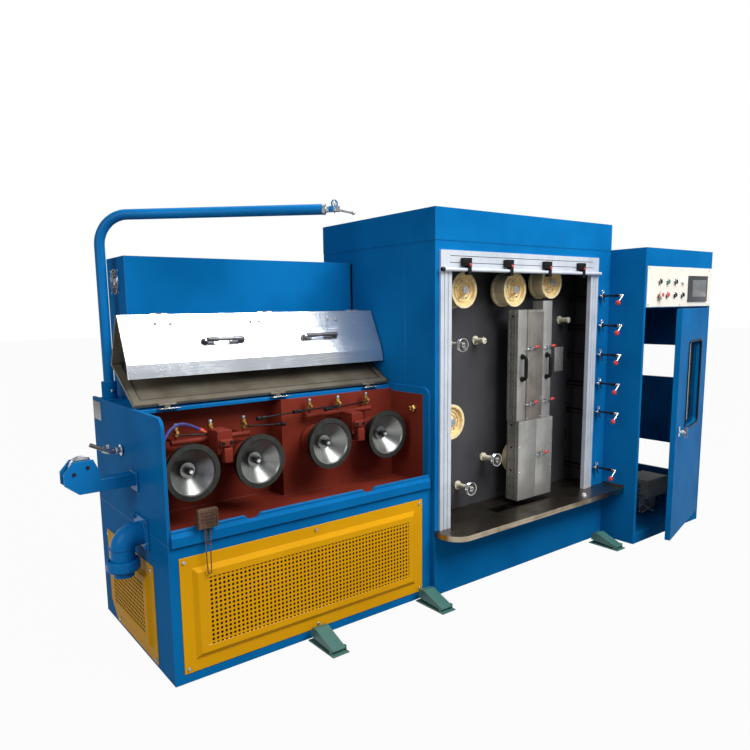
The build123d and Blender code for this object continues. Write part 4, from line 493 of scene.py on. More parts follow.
class Shape:
    """Gathers simple beveled solids into one mesh."""

    def __init__(self) -> None:
        """Start with an empty mesh."""
        self.mesh = bmesh.new()

    def block(self, low: Vector, high: Vector, round_by: float) -> "Shape":
        """Add a box with rounded edges.

        Args:
            low: lowest corner in metres.
            high: highest corner in metres.
            round_by: edge radius in metres.

        Returns:
            This shape.
        """
        size = high - low
        place = Matrix.Translation((low + high) / 2) @ Matrix.Diagonal((*size, 1.0))
        made = bmesh.ops.create_cube(self.mesh, size=1.0, matrix=place)
        edges = list({edge for corner in made["verts"] for edge in corner.link_edges})
        offset = min(round_by, min(size) * 0.45)
        bmesh.ops.bevel(self.mesh, geom=edges, offset=offset, segments=2, profile=0.5, affect="EDGES")
        return self

    def join(self, rings: list[list[bmesh.types.BMVert]], closed: bool = False) -> "Shape":
        """Skin a row of rings with faces.

        Args:
            rings: equal rings of corners, in order.
            closed: whether the last ring meets the first; otherwise both ends are capped.

        Returns:
            This shape.
        """
        count = len(rings[0])
        pairs = list(zip(rings, rings[1:]))
        if closed:
            pairs.append((rings[-1], rings[0]))
        else:
            self.mesh.faces.new(list(reversed(rings[0])))
            self.mesh.faces.new(rings[-1])
        for lower, upper in pairs:
            for spot in range(count):
                after = (spot + 1) % count
                self.mesh.faces.new((lower[spot], lower[after], upper[after], upper[spot]))
        return self

    def spun(
        self, profile: Sequence[Pair], foot: Vector, along: Vector, steps: int = 32, ring: bool = False
    ) -> "Shape":
        """Turn a profile round an axis.

        Args:
            profile: radius and height pairs in metres, from the foot upwards.
            foot: point on the axis where height is 0.
            along: direction of the axis.
            steps: faces round the axis.
            ring: whether the profile closes on itself clear of the axis, as a ring's section does.

        Returns:
            This shape.
        """
        turn = along.normalized().to_track_quat("Z", "Y").to_matrix().to_4x4()
        place = Matrix.Translation(foot) @ turn
        rings = []
        for radius, height in profile:
            spots = []
            for step in range(steps):
                angle = 2 * math.pi * step / steps
                spots.append(place @ Vector((radius * math.cos(angle), radius * math.sin(angle), height)))
            rings.append([self.mesh.verts.new(spot) for spot in spots])
        return self.join(rings, ring)

    def ball(self, centre: Vector, radius: float) -> "Shape":
        """Add a ball, from its middle and radius in metres."""
        place = Matrix.Translation(centre)
        bmesh.ops.create_icosphere(self.mesh, subdivisions=3, radius=radius, matrix=place)
        return self

    def rod(self, start: Vector, end: Vector, radius: float, steps: int = 20) -> "Shape":
        """Add a round rod with small chamfers.

        Args:
            start: one end in metres.
            end: the other end in metres.
            radius: its radius in metres.
            steps: faces round it.

        Returns:
            This shape.
        """
        length = (end - start).length
        lip = min(radius * 0.2, length * 0.2)
        profile = [(radius - lip, 0.0), (radius, lip), (radius, length - lip), (radius - lip, length)]
        return self.spun(profile, start, end - start, steps)

    def tube(self, path: list[Vector], radius: float, steps: int = 12, closed: bool = False) -> "Shape":
        """Add a round tube or wire along a path.

        Args:
            path: its points in metres.
            radius: its radius in metres.
            steps: faces round it.
            closed: whether the path meets itself.

        Returns:
            This shape.
        """
        rings, side = [], None
        angles = [2 * math.pi * step / steps for step in range(steps)]
        for spot, point in enumerate(path):
            before = path[spot - 1] if spot or closed else point
            after = path[(spot + 1) % len(path)] if spot + 1 < len(path) or closed else point
            along = (after - before).normalized()
            side = along.orthogonal() if side is None else side
            side = (side - along * side.dot(along)).normalized()
            other = along.cross(side)
            spots = [point + radius * (math.cos(a) * side + math.sin(a) * other) for a in angles]
            rings.append([self.mesh.verts.new(spot) for spot in spots])
        return self.join(rings, closed)

    def hoop(
        self,
        centre: Vector,
        across: Vector,
        upward: Vector,
        radius: float,
        wire: float,
        points: int,
        steps: int,
    ) -> "Shape":
        """Add a closed ring of wire.

        Args:
            centre: its middle in metres.
            across: unit vector in its plane.
            upward: the other unit vector in its plane.
            radius: radius of the ring in metres.
            wire: radius of the wire in metres.
            points: corners round the ring.
            steps: faces round the wire.

        Returns:
            This shape.
        """
        return self.tube(arc(centre, across, upward, radius, 0, 360, points)[:-1], wire, steps, closed=True)

    def plate(self, outline: list[Vector], thickness: Vector) -> "Shape":
        """Add a flat plate.

        Args:
            outline: corners of one face, in order.
            thickness: the way to the other face.

        Returns:
            This shape.
        """
        lower = [self.mesh.verts.new(point) for point in outline]
        upper = [self.mesh.verts.new(point + thickness) for point in outline]
        return self.join([lower, upper])

    def finish(self, name: str, smooth: float = 35.0) -> bpy.types.Object:
        """Close the mesh and make its object.

        Args:
            name: the piece's name.
            smooth: edges under this angle in degrees are shaded smooth.

        Returns:
            The new object, at the origin.
        """
        bmesh.ops.recalc_face_normals(self.mesh, faces=self.mesh.faces)
        limit = math.radians(smooth)
        for face in self.mesh.faces:
            face.smooth = True
        for edge in self.mesh.edges:
            edge.smooth = len(edge.link_faces) == 2 and edge.calc_face_angle(0.0) < limit
        data = bpy.data.meshes.new(name)
        self.mesh.to_mesh(data)
        self.mesh.free()
        return linked(bpy.data.objects.new(name, data))


def linked(item: bpy.types.Object) -> bpy.types.Object:
    """Put a new object into the scene and give it back."""
    bpy.context.scene.collection.objects.link(item)
    return item


def screw_head(facing: Vector) -> bpy.types.Object:
    """Make a domed screw head with a hexagon socket, of radius 1 round the origin.

    Args:
        facing: the way that it faces.

    Returns:
        The pattern object.
    """
    profile = ((1.0, 0.0), (1.0, 0.5), (0.8, 0.75), (0.45, 0.78), (0.42, 0.35))
    return Shape().spun(profile, Vector(), facing, 12).finish("screw_head")


def hex_bolt(facing: Vector) -> bpy.types.Object:
    """Make a hexagon bolt head on its washer, of radius 1 over the corners, round the origin.

    Args:
        facing: the way that it faces.

    Returns:
        The pattern object.
    """
    washer = 0.2
    shape = Shape().spun(((1.3, 0.0), (1.3, washer)), Vector(), facing, 20)
    return shape.spun(((1.0, 0.0), (1.0, 0.6), (0.86, 0.72)), facing * washer, facing, 6).finish("hex_bolt")


@dataclass
class Repeater:
    """Geometry Nodes tree that sets a pattern piece on points, then makes one plain mesh of it."""

    name: str
    material: bpy.types.Material

    def tree(self, pattern: bpy.types.Object) -> bpy.types.NodeTree:
        """Build the tree.

        Args:
            pattern: the object to repeat, made round the origin.

        Returns:
            The node tree, with an input Size that scales the pattern.
        """
        tree = bpy.data.node_groups.new(f"{self.name}_repeat", "GeometryNodeTree")
        for way in ("INPUT", "OUTPUT"):
            tree.interface.new_socket("Geometry", in_out=way, socket_type="NodeSocketGeometry")
        tree.interface.new_socket("Size", in_out="INPUT", socket_type="NodeSocketFloat").default_value = 1.0
        entry = add(tree, "NodeGroupInput")
        seen = add(tree, "GeometryNodeObjectInfo", {"Object": pattern}).outputs["Geometry"]
        points = add(tree, "GeometryNodeMeshToPoints", {"Mesh": entry.outputs["Geometry"]})
        sources = {"Points": points, "Instance": seen, "Scale": entry.outputs["Size"]}
        put = add(tree, "GeometryNodeInstanceOnPoints", sources)
        real = add(tree, "GeometryNodeRealizeInstances", {"Geometry": put})
        dressed = add(tree, "GeometryNodeSetMaterial", {"Geometry": real, "Material": self.material})
        add(tree, "NodeGroupOutput", {"Geometry": dressed})
        return tree

    def repeat(self, pattern: bpy.types.Object, places: list[Vector], size: float) -> bpy.types.Object:
        """Repeat a pattern on points.

        Args:
            pattern: the object to repeat, made round the origin; it is removed.
            places: the points in metres.
            size: scale of the pattern.

        Returns:
            One object with a plain mesh.
        """
        cloud = bpy.data.meshes.new(f"{self.name}_places")
        cloud.from_pydata([tuple(place) for place in places], [], [])
        carrier = linked(bpy.data.objects.new(f"{self.name}_carrier", cloud))
        modifier = carrier.modifiers.new("repeat", "NODES")
        modifier.node_group = self.tree(pattern)
        for item in modifier.node_group.interface.items_tree:
            if item.in_out == "INPUT" and item.name == "Size":
                modifier[item.identifier] = size
        graph = bpy.context.evaluated_depsgraph_get()
        data = bpy.data.meshes.new_from_object(carrier.evaluated_get(graph), depsgraph=graph)
        data.name = self.name
        for spare in (carrier, pattern):
            bpy.data.objects.remove(spare)
        return linked(bpy.data.objects.new(self.name, data))


@dataclass
class Kit:
    """What every section needs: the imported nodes, the built materials, and ways to hang a piece."""

    nodes: dict[str, bpy.types.Object]
    built: dict[str, bpy.types.Material] = field(default_factory=dict)

    def material(self, finish: Finish) -> bpy.types.Material:
        """Give a finish's material, which is built when it is first asked for."""
        if finish.name not in self.built:
            self.built[finish.name] = finish.build()
        return self.built[finish.name]

    def coat(self, item: bpy.types.Object, finish: Finish) -> None:
        """Give an object one finish."""
        item.data.materials.clear()
        item.data.materials.append(self.material(finish))

    def dress(self, finish: Finish, *nodes: str) -> None:
        """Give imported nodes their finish, by the nodes' names."""
        for node in nodes:
            self.coat(self.nodes[node], finish)

    def hang(
        self, item: bpy.types.Object, finish: Finish, body: str, replaces: tuple[str, ...] = ()
    ) -> None:
        """Dress a new piece and hang it on its body.

        Args:
            item: the new piece.
            finish: its finish.
            body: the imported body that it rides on.
            replaces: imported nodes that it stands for.
        """
        self.coat(item, finish)
        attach(item, body)
        if replaces:
            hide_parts(*replaces)
        LOG.info("%s rides on %s", item.name, body)

    def piece(
        self,
        name: str,
        shape: Shape,
        finish: Finish,
        slot: str,
        body: str = "machine",
        replaces: tuple[str, ...] = (),
        smooth: float = 35.0,
    ) -> None:
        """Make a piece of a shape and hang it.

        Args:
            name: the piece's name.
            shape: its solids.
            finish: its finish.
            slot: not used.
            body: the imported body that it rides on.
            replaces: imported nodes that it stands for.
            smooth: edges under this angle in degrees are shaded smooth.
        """
        self.hang(shape.finish(name, smooth), finish, body, replaces)

    def repeat(
        self,
        name: str,
        pattern: bpy.types.Object,
        places: list[Vector],
        finish: Finish,
        slot: str,
        body: str = "machine",
        size: float = 1.0,
    ) -> None:
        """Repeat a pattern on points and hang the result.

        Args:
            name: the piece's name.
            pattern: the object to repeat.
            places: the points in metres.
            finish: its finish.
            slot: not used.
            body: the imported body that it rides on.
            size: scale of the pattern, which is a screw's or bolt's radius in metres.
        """
        item = Repeater(name, self.material(finish)).repeat(pattern, places, size)
        self.hang(item, finish, body)


@dataclass
class Section:
    """A section of the machine, measured in millimetres from its own corner on the floor."""

    kit: Kit
    corner: Pair = (0.0, 0.0)

    def at(self, x: float, y: float, z: float) -> Vector:
        """Turn millimetres from the section's corner into a point in metres."""
        return Vector(((self.corner[0] + x) * MM, (self.corner[1] + y) * MM, z * MM))

    def blocks(self, *boxes: tuple[Point, Point, float]) -> Shape:
        """Make a shape of boxes: lowest and highest corner in millimetres and edge radius in metres."""
        shape = Shape()
        for low, high, round_by in boxes:
            shape.block(self.at(*low), self.at(*high), round_by)
        return shape

    def circle(self, x: float, y: float, z: float, radius: float, turns: Iterable[float]) -> list[Vector]:
        """Give points on an upright circle that faces front.

        Args:
            x: its middle across the machine, in millimetres, and so on for y and z.
            y: its depth.
            z: its height.
            radius: in millimetres.
            turns: the angle of each point in degrees, from the right and upwards.

        Returns:
            The points in metres.
        """
        angles = [math.radians(turn) for turn in turns]
        return [self.at(x + radius * math.cos(a), y, z + radius * math.sin(a)) for a in angles]


@dataclass
class DrawingSection(Section):
    """Capstan section: panels, process compartment, lid, payoff arm and left-wall fittings."""

    corner: Pair = (-2215.0, -463.0)
    cones: tuple[Pair, ...] = ((180, 859), (508, 859), (899, 889), (1262, 889))
    cone_front: float = 130.0
    cone_radius: float = 125.0
    rim: float = 22.0
    hub_tip: float = 154.0
    hole_radius: float = 5.9
    # First hole, spacing and number of holes along the panel, then the same three upwards.
    front_holes: tuple[float, ...] = (172.0, 20.13, 56, 146.0, 19.8, 16)
    side_holes: tuple[float, ...] = (266.0, 20.0, 25, 92.0, 20.0, 16)
    panel_face: float = -14.0
    lid_hinge: Pair = (325.0, 1138.0)
    hinge_places: tuple[float, ...] = (156.0, 721.0, 1286.0)
    lid_angle: float = 31.5
    lid_front_angle: float = 115.4
    lid_runs: Pair = (327.0, 247.0)
    lid_span: Pair = (10.3, 1436.7)
    lid_thickness: float = 12.0
    flap_hinge: Pair = (497.9, 1532.0)
    flap_angle: float = 245.8
    flap_face: float = 12.0
    flap_handles: Pair = (488.0, 1042.0)
    dies: Pair = (344.1, 1080.5)
    valve_rows: tuple[tuple[float, Point], ...] = ((1014.0, (163, 326, 494)), (1059.0, (863, 1037, 1221)))
    valve_y: float = 262.0
    spray_rods: tuple[tuple[Point, Point], ...] = (
        ((163, 252, 1006), (417, 262, 983)),
        ((326, 252, 1004), (387, 200, 995)),
        ((494, 252, 1008), (708, 262, 993)),
        ((863, 252, 1050), (542, 200, 1046)),
        ((1037, 252, 1052), (741, 200, 1056)),
        ((1221, 252, 1054), (921, 200, 1050)),
    )
    arm_turn: float = -40.0
    arm_reach: float = 1.067

    def on_flap(self, x: float, down: float, out: float) -> Vector:
        """Give a point on the flap: across the machine, down from its hinge and out of its face."""
        angle = math.radians(self.flap_angle)
        side = math.radians(self.flap_angle - 90)
        y = self.flap_hinge[0] + down * math.cos(angle) + out * math.cos(side)
        z = self.flap_hinge[1] + down * math.sin(angle) + out * math.sin(side)
        return self.at(x, y, z)

    def flap_out(self) -> Vector:
        """Give the unit vector that points out of the flap's face."""
        return (self.on_flap(0, 0, 1) - self.on_flap(0, 0, 0)).normalized()

    def on_lid(self, x: float, run: float) -> Vector:
        """Give a point on the lid's inner rim: across the machine and up the lid from its hinge."""
        angle = math.radians(self.lid_angle)
        y, z = self.lid_hinge
        return self.at(x, y + run * math.cos(angle), z + run * math.sin(angle))

    def paint(self) -> None:
        """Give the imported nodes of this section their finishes."""
        dress = self.kit.dress
        dress(BLUE, "drawing_base", "side_plates", "front_rail", "top_deck", "rear_box", "arm_socket")
        dress(PIPE_BLUE, "payoff_arm", "inlet_arm", "drain_elbow")
        dress(OXIDE, "process_lining", "bearing_housings", "coolant_pipes", "die_holders")
        dress(YELLOW, "front_panel", "side_panel")
        dress(BRASS, "spray_valves")
        dress(ZINC, "ball_valve", "inlet_roller")
        dress(LINING, "lid_tray")
        dress(STAINLESS, "lid_flap")
        dress(BROWN_STEEL, "pulling_clamp")
        inner, outer = (self.cone_radius - self.rim) * MM, self.cone_radius * MM
        for number, (x, z) in enumerate(self.cones, start=1):
            name, centre = f"turned_capstan_steel_{number}", tuple(self.at(x, self.cone_front, z))
            dress(Turned(name, centre, "#8a8b88", "#434541", inner, outer, 0.3), f"cone_capstan_{number}")

    def perforations(self) -> None:
        """Set the rows of round holes into both pressed panels."""
        profile = ((self.hole_radius * MM, 0.0), (self.hole_radius * MM, 0.0005))
        for side, holes, facing in (("front", self.front_holes, FRONT), ("side", self.side_holes, LEFT)):
            start, pitch, columns, low, rise, rows = holes
            places = []
            for row in range(int(rows)):
                for column in range(int(columns)):
                    along, z = start + column * pitch, low + row * rise
                    x, y = (along, self.panel_face) if side == "front" else (self.panel_face, along)
                    places.append(self.at(x, y, z))
            pattern = Shape().spun(profile, Vector(), facing, 12).finish(f"{side}_hole")
            self.kit.repeat(f"{side}_perforations", pattern, places, HOLE, "yellow_paint")

    def screws(self) -> None:
        """Add the panel screws, the flap's screws and the bolts on the left wall."""
        repeat = self.kit.repeat
        front = [self.at(x, -3, z) for x in (62, 711, 1360) for z in (62, 528)]
        repeat("front_panel_screws", screw_head(FRONT), front, ZINC, "zinc_hardware", size=0.008)
        side = [self.at(-3, y, z) for y, z in ((204, 35), (204, 447), (806, 447), (700, 35))]
        repeat("side_panel_screws", screw_head(LEFT), side, ZINC, "zinc_hardware", size=0.008)
        cheek = [self.at(-204, 310, 909), self.at(-260, 310, 888)]
        repeat("inlet_cheek_bolts", hex_bolt(FRONT), cheek, BLACK_STEEL, "zinc_hardware", size=0.0062)
        flange = [self.at(-8, y, z) for y in (224, 360) for z in (543, 653)]
        repeat("drain_flange_bolts", hex_bolt(LEFT), flange, BLUE, "blue_paint", size=0.011)
        flap = [self.on_flap(x, 54, self.flap_face) for x in (173, 246, 658, 706, 1124, 1179)]
        repeat("flap_screws", screw_head(self.flap_out()), flap, DULL_STEEL, "zinc_hardware", "flap", 0.0075)

    def lid_hinges(self) -> None:
        """Add the hinge leaves and knuckle sleeves on the deck, a seam and dark lines of painted shade along
        the lid's folds.
        """
        leaves, sleeves, bead = Shape(), Shape(), Shape()
        y, z = self.lid_hinge
        for x in self.hinge_places:
            leaves.block(self.at(x - 48, 288, 1122.0), self.at(x + 48, 317, 1124.5), 0.001)
            for side in (-33, 0, 33):
                leaves.spun(((0.005, 0.0), (0.004, 0.0015)), self.at(x + side, 301, 1124.5), UP, 12)
            # A bare sleeve over the deck's own knuckle, which is solid with the painted deck.
            sleeves.block(self.at(x - 13.3, y - 3.2, 1122.2), self.at(x + 13.3, y + 3.2, z), 0.0002)
            sleeves.rod(self.at(x - 13.3, y, z), self.at(x + 13.3, y, z), 0.0058)
        self.kit.piece("deck_hinge_leaves", leaves, STAINLESS, "stainless")
        self.kit.piece("deck_knuckle_sleeves", sleeves, LINING, "lid_lining")
        seam = self.blocks(((1436, 664.1, 1541), (1443.5, 667, 1800), 0.0003))
        self.kit.piece("rear_box_seam", seam, HOLE, "dark_plate")
        # Dark beads along the lid's folds are painted shade at the edges of its recess.
        for left, right, near, far, wire in ((49, 1398, 45, 322, 0.0024), (13, 1434, 9, 324, 0.002)):
            corners = ((left, near), (right, near), (right, far), (left, far))
            fold = [self.on_lid(x, run) for x, run in corners]
            sides = zip(fold, fold[1:] + fold[:1])
            path = [point for start, end in sides for point in (start, start.lerp(end, 0.5))]
            bead.tube(path, wire, 8, closed=True)
        self.kit.piece("lid_folded_edges", bead, LID_FOLD_SHADE, "lid_lining", "lid")

    def lid_skin(self) -> None:
        """Add the bright outer sheet of the lid, which shows from behind and when the lid is closed."""

        def moved(spot: Pair, degrees: float, by: float) -> Pair:
            """Shift a point in the side view by a distance in one direction."""
            angle = math.radians(degrees)
            return spot[0] + by * math.cos(angle), spot[1] + by * math.sin(angle)

        edge, sheet = 7.0, 0.6
        half_turn = math.radians(self.lid_front_angle - self.lid_angle) / 2
        corner = moved(self.lid_hinge, self.lid_angle, self.lid_runs[0])
        path = (
            (moved(self.lid_hinge, self.lid_angle, edge), self.lid_angle - 90, 1.0),
            (corner, (self.lid_angle + self.lid_front_angle) / 2 - 90, 1 / math.cos(half_turn)),
            (moved(corner, self.lid_front_angle, self.lid_runs[1] - edge), self.lid_front_angle - 90, 1.0),
        )
        near = [moved(spot, side, self.lid_thickness * stretch) for spot, side, stretch in path]
        far = [moved(spot, side, (self.lid_thickness + sheet) * stretch) for spot, side, stretch in path]
        shape = Shape()
        for first in (0, 1):
            section = [near[first], near[first + 1], far[first + 1], far[first]]
            shape.join([[shape.mesh.verts.new(self.at(x, y, z)) for y, z in section] for x in self.lid_span])
        self.kit.piece("lid_outer_skin", shape, STAINLESS, "stainless", "lid")

    def handles(self) -> None:
        """Add the cast winged handles on the flap over the plain bars."""
        half, down, foot, grip = 98, 150, self.flap_face, self.flap_face + 29
        boss = ((0.017, 0.0), (0.0165, 0.003), (0.012, 0.006))
        for number, x in enumerate(self.flap_handles, start=1):
            bends = ((-half, foot), (-half, grip), (half, grip), (half, foot))
            corners = [self.on_flap(x + side, down, out) for side, out in bends]
            shape = Shape().tube(rounded(corners, 0.022), 0.0096, 14)
            for side in (-1, 1):
                shape.spun(boss, self.on_flap(x + side * half, down, foot), self.flap_out(), 24)
                near, far = (self.on_flap(x + side * reach, down, grip) for reach in (40, 92))
                shape.tube([near, (near + far) / 2, far], 0.0118, 14)
            self.kit.piece(f"flap_handle_{number}", shape, HANDLE_STEEL, "black_grip", "flap")

    def hubs(self) -> None:
        """Add the bright centre bolt and its black collar in each dished cone."""
        collar = ((0.0178, -0.022), (0.0178, 0.0005), (0.0150, 0.003))
        bolt = ((0.0102, 0.003), (0.0102, 0.014), (0.0085, 0.0165))
        for number, (x, z) in enumerate(self.cones, start=1):
            foot, body = self.at(x, self.hub_tip + 12, z), f"cone_{number}"
            black, bright = Shape().spun(collar, foot, FRONT, 32), Shape().spun(bolt, foot, FRONT, 6)
            self.kit.piece(f"cone_collar_{number}", black, BLACK_STEEL, "zinc_hardware", body)
            self.kit.piece(f"cone_bolt_{number}", bright, BRIGHT_STEEL, "zinc_hardware", body)

    def spray_line(self) -> None:
        """Build the brass needle valves with white-metal caps and the slim black spray rods."""
        brass, caps, rods = Shape(), Shape(), Shape()
        nut = ((0.0145, 0.0), (0.0145, 0.012), (0.0125, 0.014))
        bonnet = ((0.0105, 0.0), (0.0105, 0.010), (0.0132, 0.013), (0.0132, 0.024), (0.0085, 0.028))
        cap = ((0.0065, 0.0), (0.0065, 0.004), (0.0108, 0.006), (0.0108, 0.014), (0.0075, 0.0175))
        for z, stations in self.valve_rows:
            for x in stations:
                foot = self.at(x, self.valve_y, z - 14)
                outlet = foot + UP * 0.020
                brass.spun(nut, foot, UP, 6).spun(bonnet, foot + UP * 0.014, UP, 20)
                brass.rod(outlet, outlet + FRONT * 0.024, 0.0075, 12)
                caps.spun(cap, foot + UP * 0.0405, UP, 20)
        for start, end in self.spray_rods:
            first, last = self.at(*start), self.at(*end)
            way = (last - first).normalized()
            rods.rod(first, last, 0.0042, 12)
            rods.rod(last - way * 0.040, last - way * 0.014, 0.0082, 14)
            rods.rod(last - way * 0.010, last + way * 0.012, 0.0098, 14)
        plug = self.at(1429, 111, 1014)
        brass.spun(((0.0205, 0.0), (0.0205, 0.018), (0.0185, 0.0205)), plug, LEFT, 6)
        brass.spun(((0.0135, 0.0), (0.0135, 0.014), (0.011, 0.0175)), plug + LEFT * 0.0205, LEFT, 24)
        self.kit.piece("needle_valves", brass, BRASS, "brass", replaces=("spray_valves",))
        self.kit.piece("valve_caps", caps, ZINC, "zinc_hardware")
        self.kit.piece("spray_rods", rods, BLACK_STEEL, "black_grip")

    def spray_nozzle(self) -> None:
        """Build the jointed blue nozzle pipe from links on a bend, with its orange tip."""
        corners = ((40, 110, 1003), (85, 140, 1052), (141, 160, 1076), (200, 168, 1056), (236, 170, 1036))
        path = rounded([self.at(*corner) for corner in corners], 0.06, 8)
        pitch, run, spots = 0.0115, 0.0, []
        for before, after in zip(path, path[1:]):
            length = (after - before).length
            while run < length:
                spots.append(before.lerp(after, run / length))
                run += pitch
            run -= length
        bulge = ((0.0042, -0.006), (0.0072, -0.004), (0.0078, 0.0), (0.0072, 0.004), (0.0042, 0.006))
        link = Shape().spun(bulge, Vector(), UP, 14).finish("nozzle_link")
        self.kit.repeat("nozzle_links", link, spots, HOSE_BLUE, "hose")
        self.kit.piece("nozzle_core", Shape().tube(path, 0.0062, 12), HOSE_BLUE, "hose")
        way = (path[-1] - path[-2]).normalized()
        tip = Shape().spun(((0.0085, 0.0), (0.0085, 0.012), (0.0045, 0.032)), path[-1], way, 20)
        self.kit.piece("nozzle_tip", tip, NOZZLE, "red_knob")

    def die_boxes(self) -> None:
        """Add the clamp bars and bolts that hold the wire dies, and the bearing housings' bolts."""
        upper = [((x - 31, 128, 952), (x + 31, 168, 982), 0.004) for x in self.dies]
        lower = [((x - 20, 118, 880), (x + 20, 136, 946), 0.005) for x in self.dies]
        self.kit.piece("die_clamp_bars", self.blocks(*upper, *lower), OXIDE, "red_oxide_paint")
        bolts = [self.at(x + side, 128, 967) for x in self.dies for side in (-20, 20)]
        self.kit.repeat("die_clamp_bolts", hex_bolt(FRONT), bolts, BLACK_STEEL, "zinc_hardware", size=0.007)
        turns = (45, 135, 225, 315)
        ears = [spot for x, z in self.cones for spot in self.circle(x, 292, z, 63, turns)]
        self.kit.repeat("bearing_flange_bolts", hex_bolt(FRONT), ears, OXIDE, "red_oxide_paint", size=0.007)

    def clamp(self) -> None:
        """Build the stamped pulling clamp with its jaws, side cheeks and wire loops."""
        left, right = 119, 207
        jaws = [((left + 16, -42, z), (right - 16, -36, z + 6), 0.0015) for z in range(676, 729, 13)]
        shape = self.blocks(
            ((left, -39, 661), (right, -17, 745), 0.005),
            ((left, -42, 664), (left + 8, -15, 742), 0.002),
            ((right - 8, -42, 664), (right, -15, 742), 0.002),
            ((left + 4, -15, 668), (right - 4, 18, 680), 0.002),
            ((left + 4, 11, 628), (right - 4, 18, 672), 0.002),
            *jaws,
        )
        self.kit.piece("wire_pulling_clamp", shape, BROWN_STEEL, "rusty_steel", replaces=("pulling_clamp",))
        loops, top = Shape(), 664
        wires = ((173, 163, 149, -28, 472, 0.008), (177, 168, 157, -25, 596, 0.006))
        for near, middle, far, y, low, bend in wires:
            turn = arc(self.at(middle, y, low), RIGHT, -UP, bend, 0, 180, 12)
            loops.tube([self.at(near, y, top), *turn, self.at(far, y, top)], 0.0024, 10)
        self.kit.piece("clamp_wire_loops", loops, BROWN_STEEL, "rusty_steel")

    def left_wall(self) -> None:
        """Build the bright valve elbow with its tube, the bare plate and the drain's weld beads."""
        bend = [self.at(-6, 501, 926), self.at(-60, 501, 926), self.at(-88, 501, 940)]
        stem = ((0.0068, 0.0), (0.0068, 0.010), (0.0098, 0.012), (0.0098, 0.019), (0.008, 0.0205))
        valve = Shape().spun(((0.026, 0.0), (0.026, 0.003), (0.019, 0.005)), bend[0], LEFT, 28)
        valve.tube(rounded(bend, 0.03, 8), 0.0138, 18)
        valve.spun(((0.0165, 0.0), (0.0165, 0.012), (0.015, 0.014)), self.at(-18, 501, 926), LEFT, 6)
        valve.spun(stem, self.at(-60, 501, 938), UP, 20)
        self.kit.piece("inlet_valve_elbow", valve, ZINC, "zinc_hardware", replaces=("ball_valve",))
        run = [self.at(x, 501, z) for x, z in ((-84, 938), (-112, 952), (-140, 966))]
        self.kit.piece("valve_tube", Shape().tube(run, 0.0094, 16), DULL_STEEL, "zinc_hardware")
        plate = self.blocks(((-1.6, 800, 1021), (0, 920, 1112), 0.0006))
        for y in (807, 913):
            for z in (1028, 1105):
                plate.spun(((0.003, 0.0), (0.002, 0.0014)), self.at(-1.5, y, z), LEFT, 10)
        self.kit.piece("bare_wall_plate", plate, PLATE_ALUMINIUM, "aluminium_profile")
        bead, welds = Shape(), ((486, 0.0625, 0.007, 10), (452, 0.0625, 0.007, 10), (545, 0.0525, 0.003, 8))
        for z, radius, wire, steps in welds:
            bead.hoop(self.at(-92, 292, z), RIGHT, BACK, radius, wire, 40, steps)
        self.kit.piece("drain_weld_beads", bead, BLUE, "blue_paint")

    def fan_opening(self) -> None:
        """Build the round fan opening in the rear box: its dark well, blades, guard rings and screws."""
        hub = self.at(113.2, 808, 1692)
        well = Shape().spun(((0.060, 0.0), (0.058, 0.0008)), hub, LEFT, 40)
        self.kit.piece("fan_well", well, FAN_DARK, "dark_plate")
        boss = ((0.019, 0.0), (0.019, 0.003), (0.014, 0.0045))
        fan = Shape().spun(boss, hub + LEFT * 0.0008, LEFT, 28)
        # Each corner of a blade: how far out it is, and how far round from the blade's start.
        blade = ((0.020, 0), (0.054, 24), (0.050, 40), (0.020, 8))
        for turn in range(0, 360, 72):
            spots = [(reach, math.radians(turn + step)) for reach, step in blade]
            spokes = [Vector((0, reach * math.cos(angle), reach * math.sin(angle))) for reach, angle in spots]
            fan.plate([hub + LEFT * 0.0012 + spoke for spoke in spokes], LEFT * 0.0012)
        for radius in (0.030, 0.043, 0.0565):
            fan.hoop(hub + LEFT * 0.0045, BACK, UP, radius, 0.0012, 40, 6)
        screw = ((0.006, 0.0), (0.006, 0.0025), (0.004, 0.004))
        for y in (-0.052, 0.052):
            for z in (-0.052, 0.052):
                fan.spun(screw, hub + Vector((0, y, z)), LEFT, 14)
        self.kit.piece("fan_blades_and_guard", fan, ZINC, "zinc_hardware")

    def arm_fittings(self) -> None:
        """Cover the arm's end with its bright clevis, guide ring and ball-ended screw."""
        turn = math.radians(self.arm_turn)
        ahead = Vector((math.cos(turn), math.sin(turn), 0))
        across = Vector((-ahead.y, ahead.x, 0))
        end = self.at(40, 770, 1995) + ahead * self.arm_reach
        ferrule = ((0.0255, -0.010), (0.0255, 0.004), (0.0145, 0.008), (0.0142, 0.044), (0.0115, 0.047))
        shape = Shape().spun(ferrule, end, ahead, 28)
        low = end + ahead * 0.0225 - UP * 0.0119
        outline = [low - across * 0.0134, low + across * 0.0134]
        outline += [point + ahead * 0.047 for point in reversed(outline)]
        shape.plate(outline, UP * 0.0238)
        shape.hoop(end + ahead * 0.046 + UP * 0.024, across, UP, 0.0155, 0.0039, 32, 12)
        shape.hoop(end + ahead * 0.046 + UP * 0.0125, across, UP, 0.0290, 0.0024, 40, 10)
        tip = end + ahead * 0.132 - UP * 0.020
        shape.rod(end + ahead * 0.066 - UP * 0.0047, tip, 0.0056, 16).ball(tip, 0.0086)
        self.kit.piece("arm_end_clevis", shape, ZINC, "zinc_hardware", "arm")
        head = ((0.0075, 0.0), (0.0075, 0.011), (0.0055, 0.013))
        screw = Shape().spun(head, self.at(40, 734, 1172), FRONT, 6)
        self.kit.piece("socket_set_screw", screw, ZINC, "zinc_hardware")

